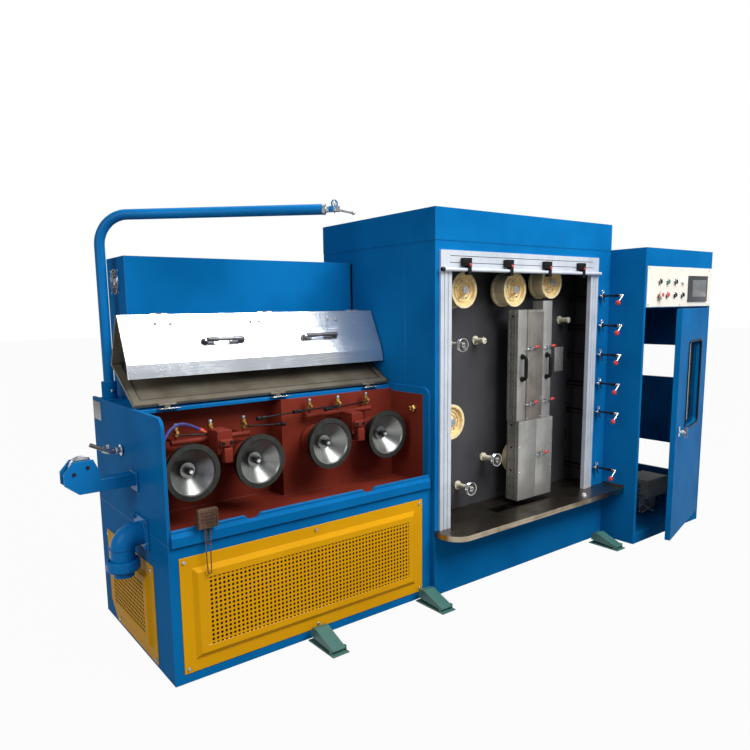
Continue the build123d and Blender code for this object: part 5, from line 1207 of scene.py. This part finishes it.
    def build(self) -> None:
        """Build and dress the whole section."""
        self.paint()
        self.perforations()
        self.screws()
        self.lid_hinges()
        self.lid_skin()
        self.handles()
        self.hubs()
        self.spray_line()
        self.spray_nozzle()
        self.die_boxes()
        self.clamp()
        self.left_wall()
        self.fan_opening()
        self.arm_fittings()


@dataclass
class AnnealerTower(Section):
    """Tower with the annealing compartment, its wheels, tube box, cranks and tray."""

    corner: Pair = (-770.0, -494.0)
    wheels: tuple[Pair, ...] = ((296, 1632), (714, 1636), (1051, 1681), (206, 919), (836, 619))
    wheel_fronts: tuple[float, ...] = (81.0, 81.0, 81.0, 81.0, 131.0)
    discs: tuple[Pair, ...] = ((317, 1334), (611, 641), (395, 502))
    disc_middle: float = 113.0
    capped_posts: tuple[Pair, ...] = ((531, 1348), (1325, 1448))
    bar_clamps: tuple[float, ...] = (195.0, 525.0, 860.0, 1188.0)
    bar_z: float = 1732.0
    box_split: float = 866.0
    box_top: float = 1520.0
    box_right_top: float = 1571.0
    box_bottom: float = 385.0
    # Middle of each toggle clamp across and up, and the depth of the cover's face behind it.
    toggles: tuple[Point, ...] = (
        (803, 1297, 41),
        (969, 1297, 49),
        (803, 968, 41),
        (969, 972, 49),
        (907, 650, 35),
    )
    spindle_x: float = 1440.0
    spindles: tuple[float, ...] = (1596.0, 1411.4, 1226.8, 1042.2, 857.6, 488.4)
    spindle_front: float = -155.0
    spindle_back: float = 320.0
    crank_radius: float = 64.0
    crank_angle: float = 223.0

    def paint(self) -> None:
        """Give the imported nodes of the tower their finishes."""
        dress = self.kit.dress
        dress(BLUE, "tower_housing", "tower_hood", "tower_portal")
        dress(TRAY, "drip_tray")
        dress(DARK_PLATE, "compartment_back")
        dress(ALUMINIUM, "aluminium_frame", "wiper_bar")
        dress(BLACK, "bar_clamps", "cover_clamps")
        dress(IVORY, "compartment_posts")
        dress(BOX_STEEL, "anneal_box")
        dress(BLACK_STEEL, *(f"crank_{number}" for number in range(1, 7)))
        for number, (x, z) in enumerate(self.wheels, start=1):
            name, centre = f"turned_wheel_bronze_{number}", tuple(self.at(x, 0, z))
            bronze = Turned(name, centre, "#ffe3a6", "#fbe6b6", 0.089, 0.097, 0.38, 0.08)
            dress(bronze, f"contact_wheel_{number}")
        for number, (x, z) in enumerate(self.discs, start=1):
            name, centre = f"turned_disc_steel_{number}", tuple(self.at(x, 0, z))
            dress(Turned(name, centre, "#d4d3cf", "#b9b8b4", 0.034, 0.040), f"guide_disc_{number}")

    def cranks(self) -> None:
        """Build the six crank spindles: black rod, bright cross bracket, bright arm and red ball."""
        back_half = ((0.007, -0.010), (0.0135, -0.006), (0.0162, 0.0))
        ball = back_half + ((0.0162, 0.005), (0.0125, 0.0115), (0.0055, 0.0145))
        for number, z in enumerate(self.spindles, start=1):
            body, front = f"spindle_{number}", self.at(self.spindle_x, self.spindle_front, z)
            shoulder, back = front + BACK * 0.012, self.at(self.spindle_x, self.spindle_back, z)
            rod = Shape().rod(shoulder, back, 0.0063, 18).rod(shoulder, front + BACK * 0.055, 0.0088, 18)
            replaced = (f"crank_{number}",)
            self.kit.piece(f"crank_rod_{number}", rod, BLACK_STEEL, "crank_steel", body, replaced)
            middle = (self.spindle_x, self.spindle_front, z)
            (end,) = self.circle(*middle, self.crank_radius, [self.crank_angle])
            bright = Shape().ball(front + BACK * 0.004, 0.0098)
            bright.rod(front + BACK * 0.002, end + BACK * 0.002, 0.0042, 14)
            bright.rod(front + BACK * 0.008, front + BACK * 0.024, 0.0095, 18)
            self.kit.piece(f"crank_arm_{number}", bright, BRIGHT_STEEL, "crank_steel", body)
            knob = Shape().spun(ball, end + BACK * 0.004, FRONT, 28)
            self.kit.piece(f"crank_knob_{number}", knob, RED, "red_knob", body)
            self.bracket(number, z)

    def bracket(self, number: int, z: float) -> None:
        """Add the bright bracket and the black stay that carry one spindle on the portal's strip.

        Args:
            number: the crank's number.
            z: the spindle's height in millimetres.
        """
        middle = self.at(self.spindle_x, -12, z)
        half = [(0.0086, 0.012), (0.0145, 0.012), (0.0158, 0.009)]
        section = [(radius, -height) for radius, height in half] + half[::-1]
        shape = Shape().spun(section, middle, FRONT, 28, ring=True)
        shape.hoop(middle + Vector((0, -0.006, 0.027)), RIGHT, UP, 0.0105, 0.0027, 24, 8)
        wing = [(side, -0.012, -0.008) for side in (-0.012, 0.012)]
        wing += [(side, -0.020, -0.040) for side in (0.006, -0.006)]
        shape.plate([middle + Vector(corner) for corner in wing], BACK * 0.006)
        lever = [middle + Vector(spot) for spot in ((-0.030, -0.004, 0.004), (-0.012, -0.004, 0.0))]
        shape.rod(*lever, 0.005, 12)
        self.kit.piece(f"spindle_bracket_{number}", shape, BRIGHT_STEEL, "zinc_hardware")
        bends = ((-3, 300, -16), (-14, 290, -20), (-14, 30, -27))
        path = [self.at(self.spindle_x + across, y, z + rise) for across, y, rise in bends]
        stay = Shape().tube(rounded(path, 0.01), 0.0046, 10)
        self.kit.piece(f"spindle_stay_{number}", stay, BLACK_STEEL, "crank_steel")

    def bar_holders(self) -> None:
        """Build the black clamps and red knobs of the round bar, its end cap and black strips of painted
        shade in the header's grooves.
        """
        black, red, grooves = Shape(), Shape(), Shape()
        dome = ((0.0072, 0.0), (0.0084, 0.002), (0.0084, 0.005), (0.0060, 0.0075), (0.003, 0.0082))
        for x in self.bar_clamps:
            black.block(self.at(x - 28, -42, 1752), self.at(x + 28, -12, 1792), 0.003)
            black.block(self.at(x + 2, -41.5, 1706), self.at(x + 27, -12.5, 1756), 0.003)
            black.spun(((0.004, 0.0), (0.0035, 0.003)), self.at(x - 14, -42, 1772), FRONT, 12)
            red.spun(dome, self.at(x + 12, -41.5, 1757), FRONT, 24)
        low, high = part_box("aluminium_frame")
        post = 0.064
        # Black strips on the header stand for its slots: painted shade inside the grooves.
        for z in (1.7665, 1.8005):
            near = Vector((low.x + post, low.y - 0.0004, z))
            grooves.block(near, Vector((high.x - post, low.y + 0.001, z + 0.003)), 0.0002)
        self.kit.piece("header_grooves", grooves, BLACK_STEEL, "aluminium_profile")
        self.kit.piece("bar_clamp_bodies", black, BLACK, "black_grip", replaces=("bar_clamps",))
        self.kit.piece("bar_clamp_knobs", red, RED, "red_knob")
        plug = ((0.0112, 0.0), (0.0112, 0.014), (0.0085, 0.018))
        cap = Shape().spun(plug, self.at(36, -27, self.bar_z), LEFT, 24)
        self.kit.piece("bar_end_cap", cap, BLACK, "black_grip")

    def wheel_hubs(self) -> None:
        """Add the bright hub cap, the face screws and two raised rings of each contact wheel."""
        outer = ((0.058, 0.0), (0.058, 0.004), (0.061, 0.0055), (0.064, 0.004), (0.064, 0.0))
        inner = ((0.040, 0.0), (0.040, 0.003), (0.042, 0.004), (0.044, 0.003), (0.044, 0.0))
        dome = ((0.0225, -0.004), (0.0225, 0.003), (0.0205, 0.0045), (0.006, 0.0050))
        nut = ((0.0055, 0.0), (0.0055, 0.003), (0.004, 0.0038))
        for number, ((x, z), front) in enumerate(zip(self.wheels, self.wheel_fronts), start=1):
            body, foot, well = f"wheel_{number}", self.at(x, front - 8.0, z), front + 16.0
            cap = Shape().spun(dome, foot, FRONT).spun(nut, foot + FRONT * 0.0050, FRONT, 6)
            self.kit.piece(f"wheel_hub_cap_{number}", cap, PLATE_ALUMINIUM, "zinc_hardware", body)
            rings = Shape()
            for section in (outer, inner):
                rings.spun(section, self.at(x, well, z), FRONT, 40, ring=True)
            self.kit.piece(f"wheel_face_ring_{number}", rings, WHEEL_FACE, "wheel_bronze", body)
            screws = Shape()
            for spot in self.circle(x, well + 0.4, z, 51, range(20, 360, 72)):
                screws.spun(((0.0048, 0.0), (0.0042, 0.0022), (0.0018, 0.0024)), spot, FRONT, 12)
            self.kit.piece(f"wheel_screws_{number}", screws, DULL_STEEL, "zinc_hardware", body)

    def guide_rollers(self) -> None:
        """Build the grooved chrome guide discs with their dished faces and hub nuts."""
        groove = ((0.0395, 0.0), (0.0395, 0.003), (0.0345, 0.0095), (0.0395, 0.016), (0.0395, 0.0175))
        face = ((0.038, 0.019), (0.034, 0.019), (0.024, 0.0125), (0.016, 0.0125), (0.0135, 0.018))
        section = ((0.0086, 0.0), *groove, *face, (0.0086, 0.018))
        hexagon = ((0.0078, 0.0), (0.0078, 0.007), (0.006, 0.009))
        hollow = ((0.0165, 0.0118), (0.0338, 0.0182), (0.0338, 0.0192), (0.0238, 0.0131), (0.0165, 0.0131))
        for number, (x, z) in enumerate(self.discs, start=1):
            foot, body = self.at(x, self.disc_middle + 9.5, z), f"disc_{number}"
            disc = Shape().spun(section, foot, FRONT, 48, ring=True)
            replaced = (f"guide_disc_{number}",)
            self.kit.piece(f"dished_guide_disc_{number}", disc, BRIGHT_STEEL, "capstan_steel", body, replaced)
            dish = Shape().spun(hollow, foot, FRONT, 40, ring=True)
            self.kit.piece(f"guide_disc_dish_{number}", dish, DISH_STEEL, "capstan_steel", body)
            nut = Shape().spun(hexagon, foot + FRONT * 0.016, FRONT, 6)
            self.kit.piece(f"guide_disc_nut_{number}", nut, DULL_STEEL, "zinc_hardware")

    def idler_details(self) -> None:
        """Add flange holes and a set screw to each ivory post, and a bore to the two with caps."""
        dark, pins = Shape(), Shape()
        for x, z in self.capped_posts + self.discs:
            for spot in self.circle(x, 212.9, z, 20, (150, 270, 30)):
                dark.spun(((0.0032, 0.0), (0.003, 0.0008)), spot, FRONT, 10)
            pins.rod(self.at(x + 4, 160, z + 13), self.at(x + 8, 160, z + 26), 0.0022, 8)
        for x, z in self.capped_posts:
            dark.spun(((0.0045, 0.0), (0.0042, 0.0008)), self.at(x, 136.6, z), FRONT, 12)
        self.kit.piece("idler_flange_holes", dark, HOLE, "black_grip")
        self.kit.piece("idler_set_screws", pins, DULL_STEEL, "zinc_hardware")

    def box_covers(self) -> None:
        """Lay the brushed cover strips and plates of the annealing box, and the channel on its side."""
        split, top, bottom = self.box_split, self.box_top, self.box_bottom
        strips = self.blocks(
            ((707.5, 46.5, split + 1), (784.5, 50, top - 1), 0.001),
            ((930.5, 46.5, split + 1), (1016.5, 50, self.box_right_top - 1), 0.001),
            ((706, 46.5, split + 1), (708.5, 64, top - 1), 0.0008),
        )
        self.kit.piece("box_cover_strips", strips, STRIP_ALUMINIUM, "grey_cover")
        centre = self.blocks(((785.5, 39.6, split + 1), (929.5, 42, top - 14), 0.0006))
        self.kit.piece("box_centre_plate", centre, CENTRE_PLATE, "grey_cover")
        lower = self.blocks(
            ((716, 33.8, bottom + 2), (874, 36, split - 2), 0.0008),
            ((877, 33.8, bottom + 2), (1032, 36, split - 2), 0.0008),
            ((713.8, 34.2, bottom + 1), (718, 40, split - 1), 0.001),
        )
        self.kit.piece("box_lower_covers", lower, STRIP_ALUMINIUM, "grey_cover")
        channel = self.blocks(
            ((703.6, 66, split + 4), (707.5, 74, top - 6), 0.001),
            ((703.6, 108, split + 4), (707.5, 116, top - 6), 0.001),
            ((705.4, 80, split + 40), (707.5, 100, top - 60), 0.0008),
            ((711.6, 54, bottom + 6), (715.5, 60, split - 4), 0.001),
            ((711.6, 106, bottom + 6), (715.5, 114, split - 4), 0.001),
        )
        self.kit.piece("box_side_channel", channel, CHANNEL_STEEL, "grey_cover")
        plate = self.blocks(((1288, 218.6, 1112), (1380, 221.5, 1271), 0.0008))
        self.kit.piece("bare_back_plate", plate, PLATE_ALUMINIUM, "aluminium_profile")

    def box_holes(self) -> None:
        """Add the side channel's holes and slots, and the screws of the annealing box's covers."""
        upper, lower = 707, 715
        places = [self.at(upper, y, self.box_split + 30 + 52 * step) for step in range(12) for y in (77, 104)]
        places += [self.at(lower, y, z) for z in range(410, 850, 55) for y in (66, 100)]
        hole = Shape().spun(((0.0034, 0.0), (0.003, 0.0008)), Vector(), LEFT, 10).finish("channel_hole")
        self.kit.repeat("channel_holes", hole, places, HOLE, "black_grip")
        stations = ((upper, 1478), (lower, 836), (lower, 700), (lower, 560))
        slots = self.blocks(*[((x - 0.9, 82, z), (x + 0.5, 96, z + 10), 0.0004) for x, z in stations])
        self.kit.piece("channel_slots", slots, HOLE, "black_grip")
        heads = [self.at(x, 41.2, z) for x in (794, 921) for z in (878, 992, 1110, 1230, 1350, 1470)]
        heads += [self.at(x, 33.9, z) for x in (726, 1022) for z in (410, 560, 710, 850)]
        self.kit.repeat("cover_screws", screw_head(FRONT), heads, BRIGHT_STEEL, "zinc_hardware", size=0.0034)

    def box_fittings(self) -> None:
        """Build the black bow handles and the chrome toggle clamps with red grips."""
        black, bright, red = Shape(), Shape(), Shape()
        for x in (746.0, 973.5):
            corners = [self.at(x, y, z) for y, z in ((49, 1248), (16, 1244), (16, 1120), (49, 1116))]
            black.tube(rounded(corners, 0.02), 0.0112, 14)
            for z in (1248, 1116):
                black.spun(((0.016, 0.0), (0.016, 0.006), (0.012, 0.012)), self.at(x, 47, z), FRONT, 20)
        self.kit.piece("cover_bow_handles", black, BLACK, "black_grip", replaces=("cover_clamps",))
        grip = ((0.0055, 0.0), (0.0078, 0.004), (0.0082, 0.018), (0.0072, 0.030), (0.004, 0.034))
        for x, z, face in self.toggles:
            pivot = self.at(x + 4, face - 15, z)
            bright.block(self.at(x - 18, face - 4, z - 11), self.at(x + 16, face + 0.5, z + 11), 0.001)
            for side in (-7, 7):
                cheek = self.at(x - 8, face - 20, z + side - 1.5), self.at(x + 12, face - 3, z + side + 1.5)
                bright.block(*cheek, 0.0008)
            bright.rod(pivot - UP * 0.012, pivot + UP * 0.012, 0.0032, 12)
            wire = [self.at(x - 34, face - 4, z - 4), self.at(x - 22, face - 15, z - 2), pivot]
            bright.tube(rounded(wire, 0.01), 0.003, 10)
            bright.rod(self.at(x + 2, face - 15, z), self.at(x + 40, face - 17, z + 4), 0.0036, 12)
            red.spun(grip, self.at(x + 34, face - 17, z + 3), Vector((1, -0.05, 0.1)), 20)
        self.kit.piece("toggle_clamps", bright, BRIGHT_STEEL, "zinc_hardware")
        self.kit.piece("toggle_grips", red, RED, "red_knob")

    def tray_details(self) -> None:
        """Add the polished tray edge with its painted highlight, the drain recess in its floor and the white
        knob.
        """
        low, high, sheet = 332.5, 361.5, 0.0009
        left, front, right, reach = -0.8, -160.8, 1539.0, 105.0
        # The band along the rim is polished steel, made brighter than the floor as a painted highlight.
        path = [(left, 0.0)]
        for step in range(13):
            angle = math.radians(180 + 90 * step / 12)
            path.append((left + reach + reach * math.cos(angle), front + reach + reach * math.sin(angle)))
        path.append((right, front))
        rise, edge = UP * (high - low) * MM, Shape()
        for near, far in zip(path, path[1:]):
            start, end = self.at(*near, low), self.at(*far, low)
            inward = UP.cross(end - start).normalized()
            edge.plate([start, end, end + rise, start + rise], inward * sheet)
        self.kit.piece("polished_tray_edge", edge, TRAY_EDGE, "tray_steel", smooth=60.0)
        recess = self.blocks(((505, 10, 361.6), (985, 84, 362.9), 0.0004))
        self.kit.piece("tray_drain_recess", recess, TRAY_RECESS, "tray_steel")
        dome = ((0.0125, 0.0), (0.0125, 0.010), (0.0098, 0.0145), (0.004, 0.0155))
        knob = Shape().spun(dome, self.at(1186, -104, 362), UP, 24)
        self.kit.piece("tray_knob_cap", knob, WHITE, "cream_hub")

    def build(self) -> None:
        """Build and dress the whole tower."""
        self.paint()
        self.cranks()
        self.bar_holders()
        self.wheel_hubs()
        self.guide_rollers()
        self.idler_details()
        self.box_covers()
        self.box_holes()
        self.box_fittings()
        self.tray_details()


@dataclass
class TakeOffCabinet(Section):
    """Cabinet with its control panel, open door, drive and foot switches."""

    corner: Pair = (770.0, -732.0)
    buttons: tuple[float, ...] = (158.0, 252.0, 346.0, 440.0)
    button_rows: Pair = (1680.0, 1597.0)
    panel_face: float = -4.0
    screen: tuple[float, float, float, float] = (514.0, 1554.0, 250.0, 166.0)
    hinge: Pair = (810.0, -3.0)
    open_by: float = 15.2
    lock_run: float = 717.5
    take_off_z: float = 0.245

    def on_door(self, run: float, out: float, z: float) -> Vector:
        """Give a point on the door: from its hinge along it, outwards and up, in millimetres."""
        turn = math.radians(self.open_by)
        x = self.hinge[0] - run * math.cos(turn) + out * math.sin(turn)
        y = self.hinge[1] - run * math.sin(turn) - out * math.cos(turn)
        return self.at(x, y, z)

    def paint(self) -> None:
        """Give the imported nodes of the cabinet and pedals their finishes."""
        dress = self.kit.dress
        dress(BLUE, "cabinet_shell", "cabinet_head", "cabinet_door")
        dress(GREY_MOTOR, "cabinet_drive")
        dress(CREAM, "control_panel")
        dress(PANE, "door_pane")
        dress(PEDAL, "pedal_bases", "foot_treadle_1", "foot_treadle_2", "foot_treadle_3")

    def controls(self) -> None:
        """Add the screen, the button rings, the coloured caps and the panel's screws."""
        x, z, width, height = self.screen
        face, right, top = self.panel_face - 8.0, x + width, z + height
        frame = (x - 0.5, face - 1.5, z - 0.5), (right + 0.5, self.panel_face, top + 0.5), 0.002
        bezel = self.blocks(frame)
        self.kit.piece("screen_bezel", bezel, BEZEL, "screen")
        glass = self.blocks(((x + 48, face - 2.2, z + 30), (right - 20, face - 1.0, top - 26), 0.0005))
        self.kit.piece("screen_glass", glass, SCREEN_GLASS, "screen")
        rings = Shape()
        section = ((0.0152, 0.0), (0.0195, 0.0), (0.0195, 0.004), (0.0175, 0.006), (0.0152, 0.006))
        flush = ((0.0153, 0.0), (0.0153, 0.0125), (0.0135, 0.0146), (0.006, 0.0149))
        stem = ((0.0153, 0.0), (0.0153, 0.0145), (0.0243, 0.0165))
        mushroom = stem + ((0.0243, 0.022), (0.0205, 0.0268), (0.010, 0.0285))
        stop = (self.buttons[0], self.button_rows[1])
        colours = ((BLACK, GREEN, BLACK, CLEAR_LENS), (RED, RED, BLACK, BLACK))
        for row, finishes in zip(self.button_rows, colours):
            for station, finish in zip(self.buttons, finishes):
                foot = self.at(station, self.panel_face, row)
                rings.spun(section, foot, FRONT, 28, ring=True)
                cap = Shape().spun(mushroom if (station, row) == stop else flush, foot, FRONT)
                slot = "red_knob" if finish is RED else "black_grip"
                self.kit.piece(f"button_{int(station)}_{int(row)}", cap, finish, slot)
        self.kit.piece("button_rings", rings, BRIGHT_STEEL, "zinc_hardware")
        spots = [self.at(across, self.panel_face, up) for across in (34, 420, 790) for up in (1536, 1758)]
        self.kit.repeat("control_panel_screws", screw_head(FRONT), spots, ZINC, "zinc_hardware", size=0.0045)

    def door_fittings(self) -> None:
        """Add the black window seal on both faces of the door, and the lock with its wing grip."""
        left, right, low, high, bend = 170.0, 545.0, 742.0, 1302.0, 34.0
        path = []
        upper = ((right, high, -1, -1, 0), (left, high, 1, -1, 90))
        lower = ((left, low, 1, 1, 180), (right, low, -1, 1, 270))
        for x, z, inward, upward, start in upper + lower:
            for step in range(7):
                angle = math.radians(start + 15 * step)
                path.append((x + bend * (inward + math.cos(angle)), z + bend * (upward + math.sin(angle))))
        seal = Shape()
        for out, radius, steps in ((3.5, 0.006, 10), (-29.5, 0.005, 8)):
            seal.tube([self.on_door(run, out, z) for run, z in path], radius, steps, closed=True)
        self.kit.piece("door_window_seal", seal, BLACK, "black_grip", "door")
        lock = Shape()
        plates = ((18.4, 2.5, 9.5, 726.6, 787.4), (10.5, 42.6, 55.0, 724.6, 789.4))
        for half, near, deep, foot, top in plates:
            outline = ((-half, near), (half, near), (half, deep), (-half, deep))
            flat = [self.on_door(self.lock_run + side, out, foot) for side, out in outline]
            lock.plate(flat, UP * (top - foot) * MM)
        out = (self.on_door(0, 1, 0) - self.on_door(0, 0, 0)).normalized()
        stem = ((0.0115, 0.0), (0.0115, 0.034), (0.0095, 0.037))
        lock.spun(stem, self.on_door(self.lock_run, 8, 757), out, 24)
        lock.ball(self.on_door(self.lock_run, 42, 757), 0.0125)
        self.kit.piece("door_lock_handle", lock, BRIGHT_STEEL, "zinc_hardware", "door")

    def drive_details(self) -> None:
        """Dress the take-off drive: the gearbox's ribs and the bright hubs."""
        low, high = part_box("cabinet_drive")
        middle, ribs = (low.y + high.y) / 2, Shape()
        for step in range(5):
            z = 0.190 + step * 0.024
            near = Vector((high.x - 0.262, low.y - 0.003, z))
            ribs.block(near, Vector((high.x - 0.004, low.y + 0.001, z + 0.010)), 0.002)
        self.kit.piece("gearbox_ribs", ribs, GREY_MOTOR, "motor_grey")
        hub, height = Shape(), self.take_off_z
        rim = ((0.0595, -0.004), (0.061, 0.004), (0.061, 0.010), (0.040, 0.014))
        boss = ((0.026, 0.0), (0.026, 0.010), (0.020, 0.016), (0.008, 0.018))
        gland = ((0.046, 0.0), (0.046, 0.006), (0.034, 0.010), (0.030, 0.024), (0.025, 0.027))
        for profile, x, steps in ((rim, low.x + 0.011, 40), (boss, low.x - 0.001, 28), (gland, 1.2405, 36)):
            hub.spun(profile, Vector((x, middle, height)), LEFT, steps)
        self.kit.piece("take_off_hub", hub, ZINC, "zinc_hardware")

    def chain(self) -> None:
        """Heap the slack chain below the drive: links set at random in a cone, the same in each run."""
        link = Shape()
        for across, upward in ((RIGHT, Vector((0, 0.7, 0.7))), (BACK, Vector((0.6, 0, 0.8)))):
            link.hoop(across * 0.006, across, upward, 0.011, 0.0032, 12, 6)
        random, spots = Random(7), []
        for _ in range(120):
            rise = random.random() ** 1.6
            spread = 1 - 0.6 * rise
            x, y = 462 + random.gauss(0, 30) * spread, 216 + random.gauss(0, 20) * spread
            spots.append(self.at(x, y, 82 + 115 * rise))
        self.kit.repeat("slack_chain", link.finish("chain_link"), spots, BRIGHT_STEEL, "zinc_hardware")

    def build(self) -> None:
        """Build and dress the whole cabinet."""
        self.paint()
        self.controls()
        self.door_fittings()
        self.drive_details()
        self.chain()


@dataclass
class Studio:
    """White room with soft light, and the camera at the photograph's place."""

    place: Point = (-3.1216, -2.9386, 1.5428)
    yaw: float = 36.446
    pitch: float = 8.324
    roll: float = -0.957
    lens: float = 31.56
    shift: Pair = (0.03335, 0.03996)
    floor_size: float = 40.0

    def camera(self) -> None:
        """Create the camera."""
        yaw, pitch, roll = (math.radians(v) for v in (self.yaw, self.pitch, self.roll))
        ahead = Vector((math.sin(yaw) * math.cos(pitch), math.cos(yaw) * math.cos(pitch), -math.sin(pitch)))
        right = Vector((math.cos(yaw), -math.sin(yaw), 0))
        up = right.cross(ahead)
        across = math.cos(roll) * right + math.sin(roll) * up
        upward = -math.sin(roll) * right + math.cos(roll) * up
        data = bpy.data.cameras.new("camera")
        data.sensor_width = 36.0
        data.lens = self.lens
        data.shift_x, data.shift_y = self.shift
        data.clip_end = 100.0
        item = linked(bpy.data.objects.new("camera", data))
        turn = Matrix((across, upward, -ahead)).transposed()
        item.matrix_world = Matrix.Translation(self.place) @ turn.to_4x4()
        bpy.context.scene.camera = item

    def lamp(self, name: str, place: Point, target: Point, size: float, power: float) -> None:
        """Add a square area lamp.

        Args:
            name: the lamp's name.
            place: where it hangs, in metres.
            target: the point it faces.
            size: side length in metres.
            power: watts.
        """
        data = bpy.data.lights.new(name, "AREA")
        data.size = size
        data.energy = power
        item = linked(bpy.data.objects.new(name, data))
        item.location = place
        item.rotation_mode = "QUATERNION"
        item.rotation_quaternion = (Vector(target) - Vector(place)).to_track_quat("-Z", "Y")

    def world(self) -> None:
        """Fill the world with pale light that the camera sees as white."""
        world = bpy.data.worlds.new("studio_world")
        world.use_nodes = True
        tree = world.node_tree
        tree.nodes.clear()
        soft = add(tree, "ShaderNodeBackground", {"Color": linear("#e9eef5"), "Strength": 0.44})
        white = add(tree, "ShaderNodeBackground", {"Color": (1, 1, 1, 1), "Strength": 1.0})
        seen = add(tree, "ShaderNodeLightPath").outputs["Is Camera Ray"]
        mixed = add(tree, "ShaderNodeMixShader", {0: seen, 1: soft, 2: white})
        add(tree, "ShaderNodeOutputWorld", {"Surface": mixed})
        bpy.context.scene.world = world

    def floor(self) -> None:
        """Lay a white floor that keeps a faint shadow, and shows white in metal and glass."""
        corners = ((-1, -1), (1, -1), (1, 1), (-1, 1))
        shape = Shape()
        spots = [Vector((x * self.floor_size, y * self.floor_size, -0.0005)) for x, y in corners]
        shape.mesh.faces.new([shape.mesh.verts.new(spot) for spot in spots])
        item = shape.finish("studio_floor")
        material = bpy.data.materials.new("white_studio_floor")
        material.use_nodes = True
        tree = material.node_tree
        tree.nodes.clear()
        path = add(tree, "ShaderNodeLightPath").outputs
        rays = {0: path["Is Camera Ray"], 1: path["Is Glossy Ray"]}
        first = add(tree, "ShaderNodeMath", rays, operation="MAXIMUM")
        seen = add(tree, "ShaderNodeMath", {0: first, 1: path["Is Transmission Ray"]}, operation="MAXIMUM")
        share = add(tree, "ShaderNodeMath", {0: seen, 1: 0.965}, operation="MULTIPLY")
        matt = add(tree, "ShaderNodeBsdfDiffuse", {"Color": linear("#6e6e6e")})
        glow = add(tree, "ShaderNodeEmission", {"Color": (1, 1, 1, 1), "Strength": 1.0})
        mixed = add(tree, "ShaderNodeMixShader", {0: share, 1: matt, 2: glow})
        add(tree, "ShaderNodeOutputMaterial", {"Surface": mixed})
        item.data.materials.append(material)

    def build(self) -> None:
        """Build the camera, world, lamps and floor."""
        self.camera()
        self.world()
        self.lamp("key_softbox", (0.18, -3.7, 4.75), (-0.4, 0.0, 1.2), 3.2, 350.0)
        self.lamp("fill_softbox", (-5.4, -1.6, 2.8), (-2.2, 0.0, 0.9), 2.2, 55.0)
        self.lamp("top_softbox", (0.0, 0.4, 5.2), (0.0, 0.0, 0.0), 4.0, 90.0)
        self.floor()
        bpy.context.scene.view_settings.view_transform = "Standard"


def main() -> None:
    """Build the studio and the dressed machine."""
    logging.basicConfig(level=logging.INFO, format="%(name)s: %(message)s")
    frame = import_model()
    Studio().build()
    kit = Kit(frame["nodes"])
    for section in (DrawingSection(kit), AnnealerTower(kit), TakeOffCabinet(kit)):
        section.build()
        LOG.info("%s built", type(section).__name__)


if __name__ == "__main__":
    main()
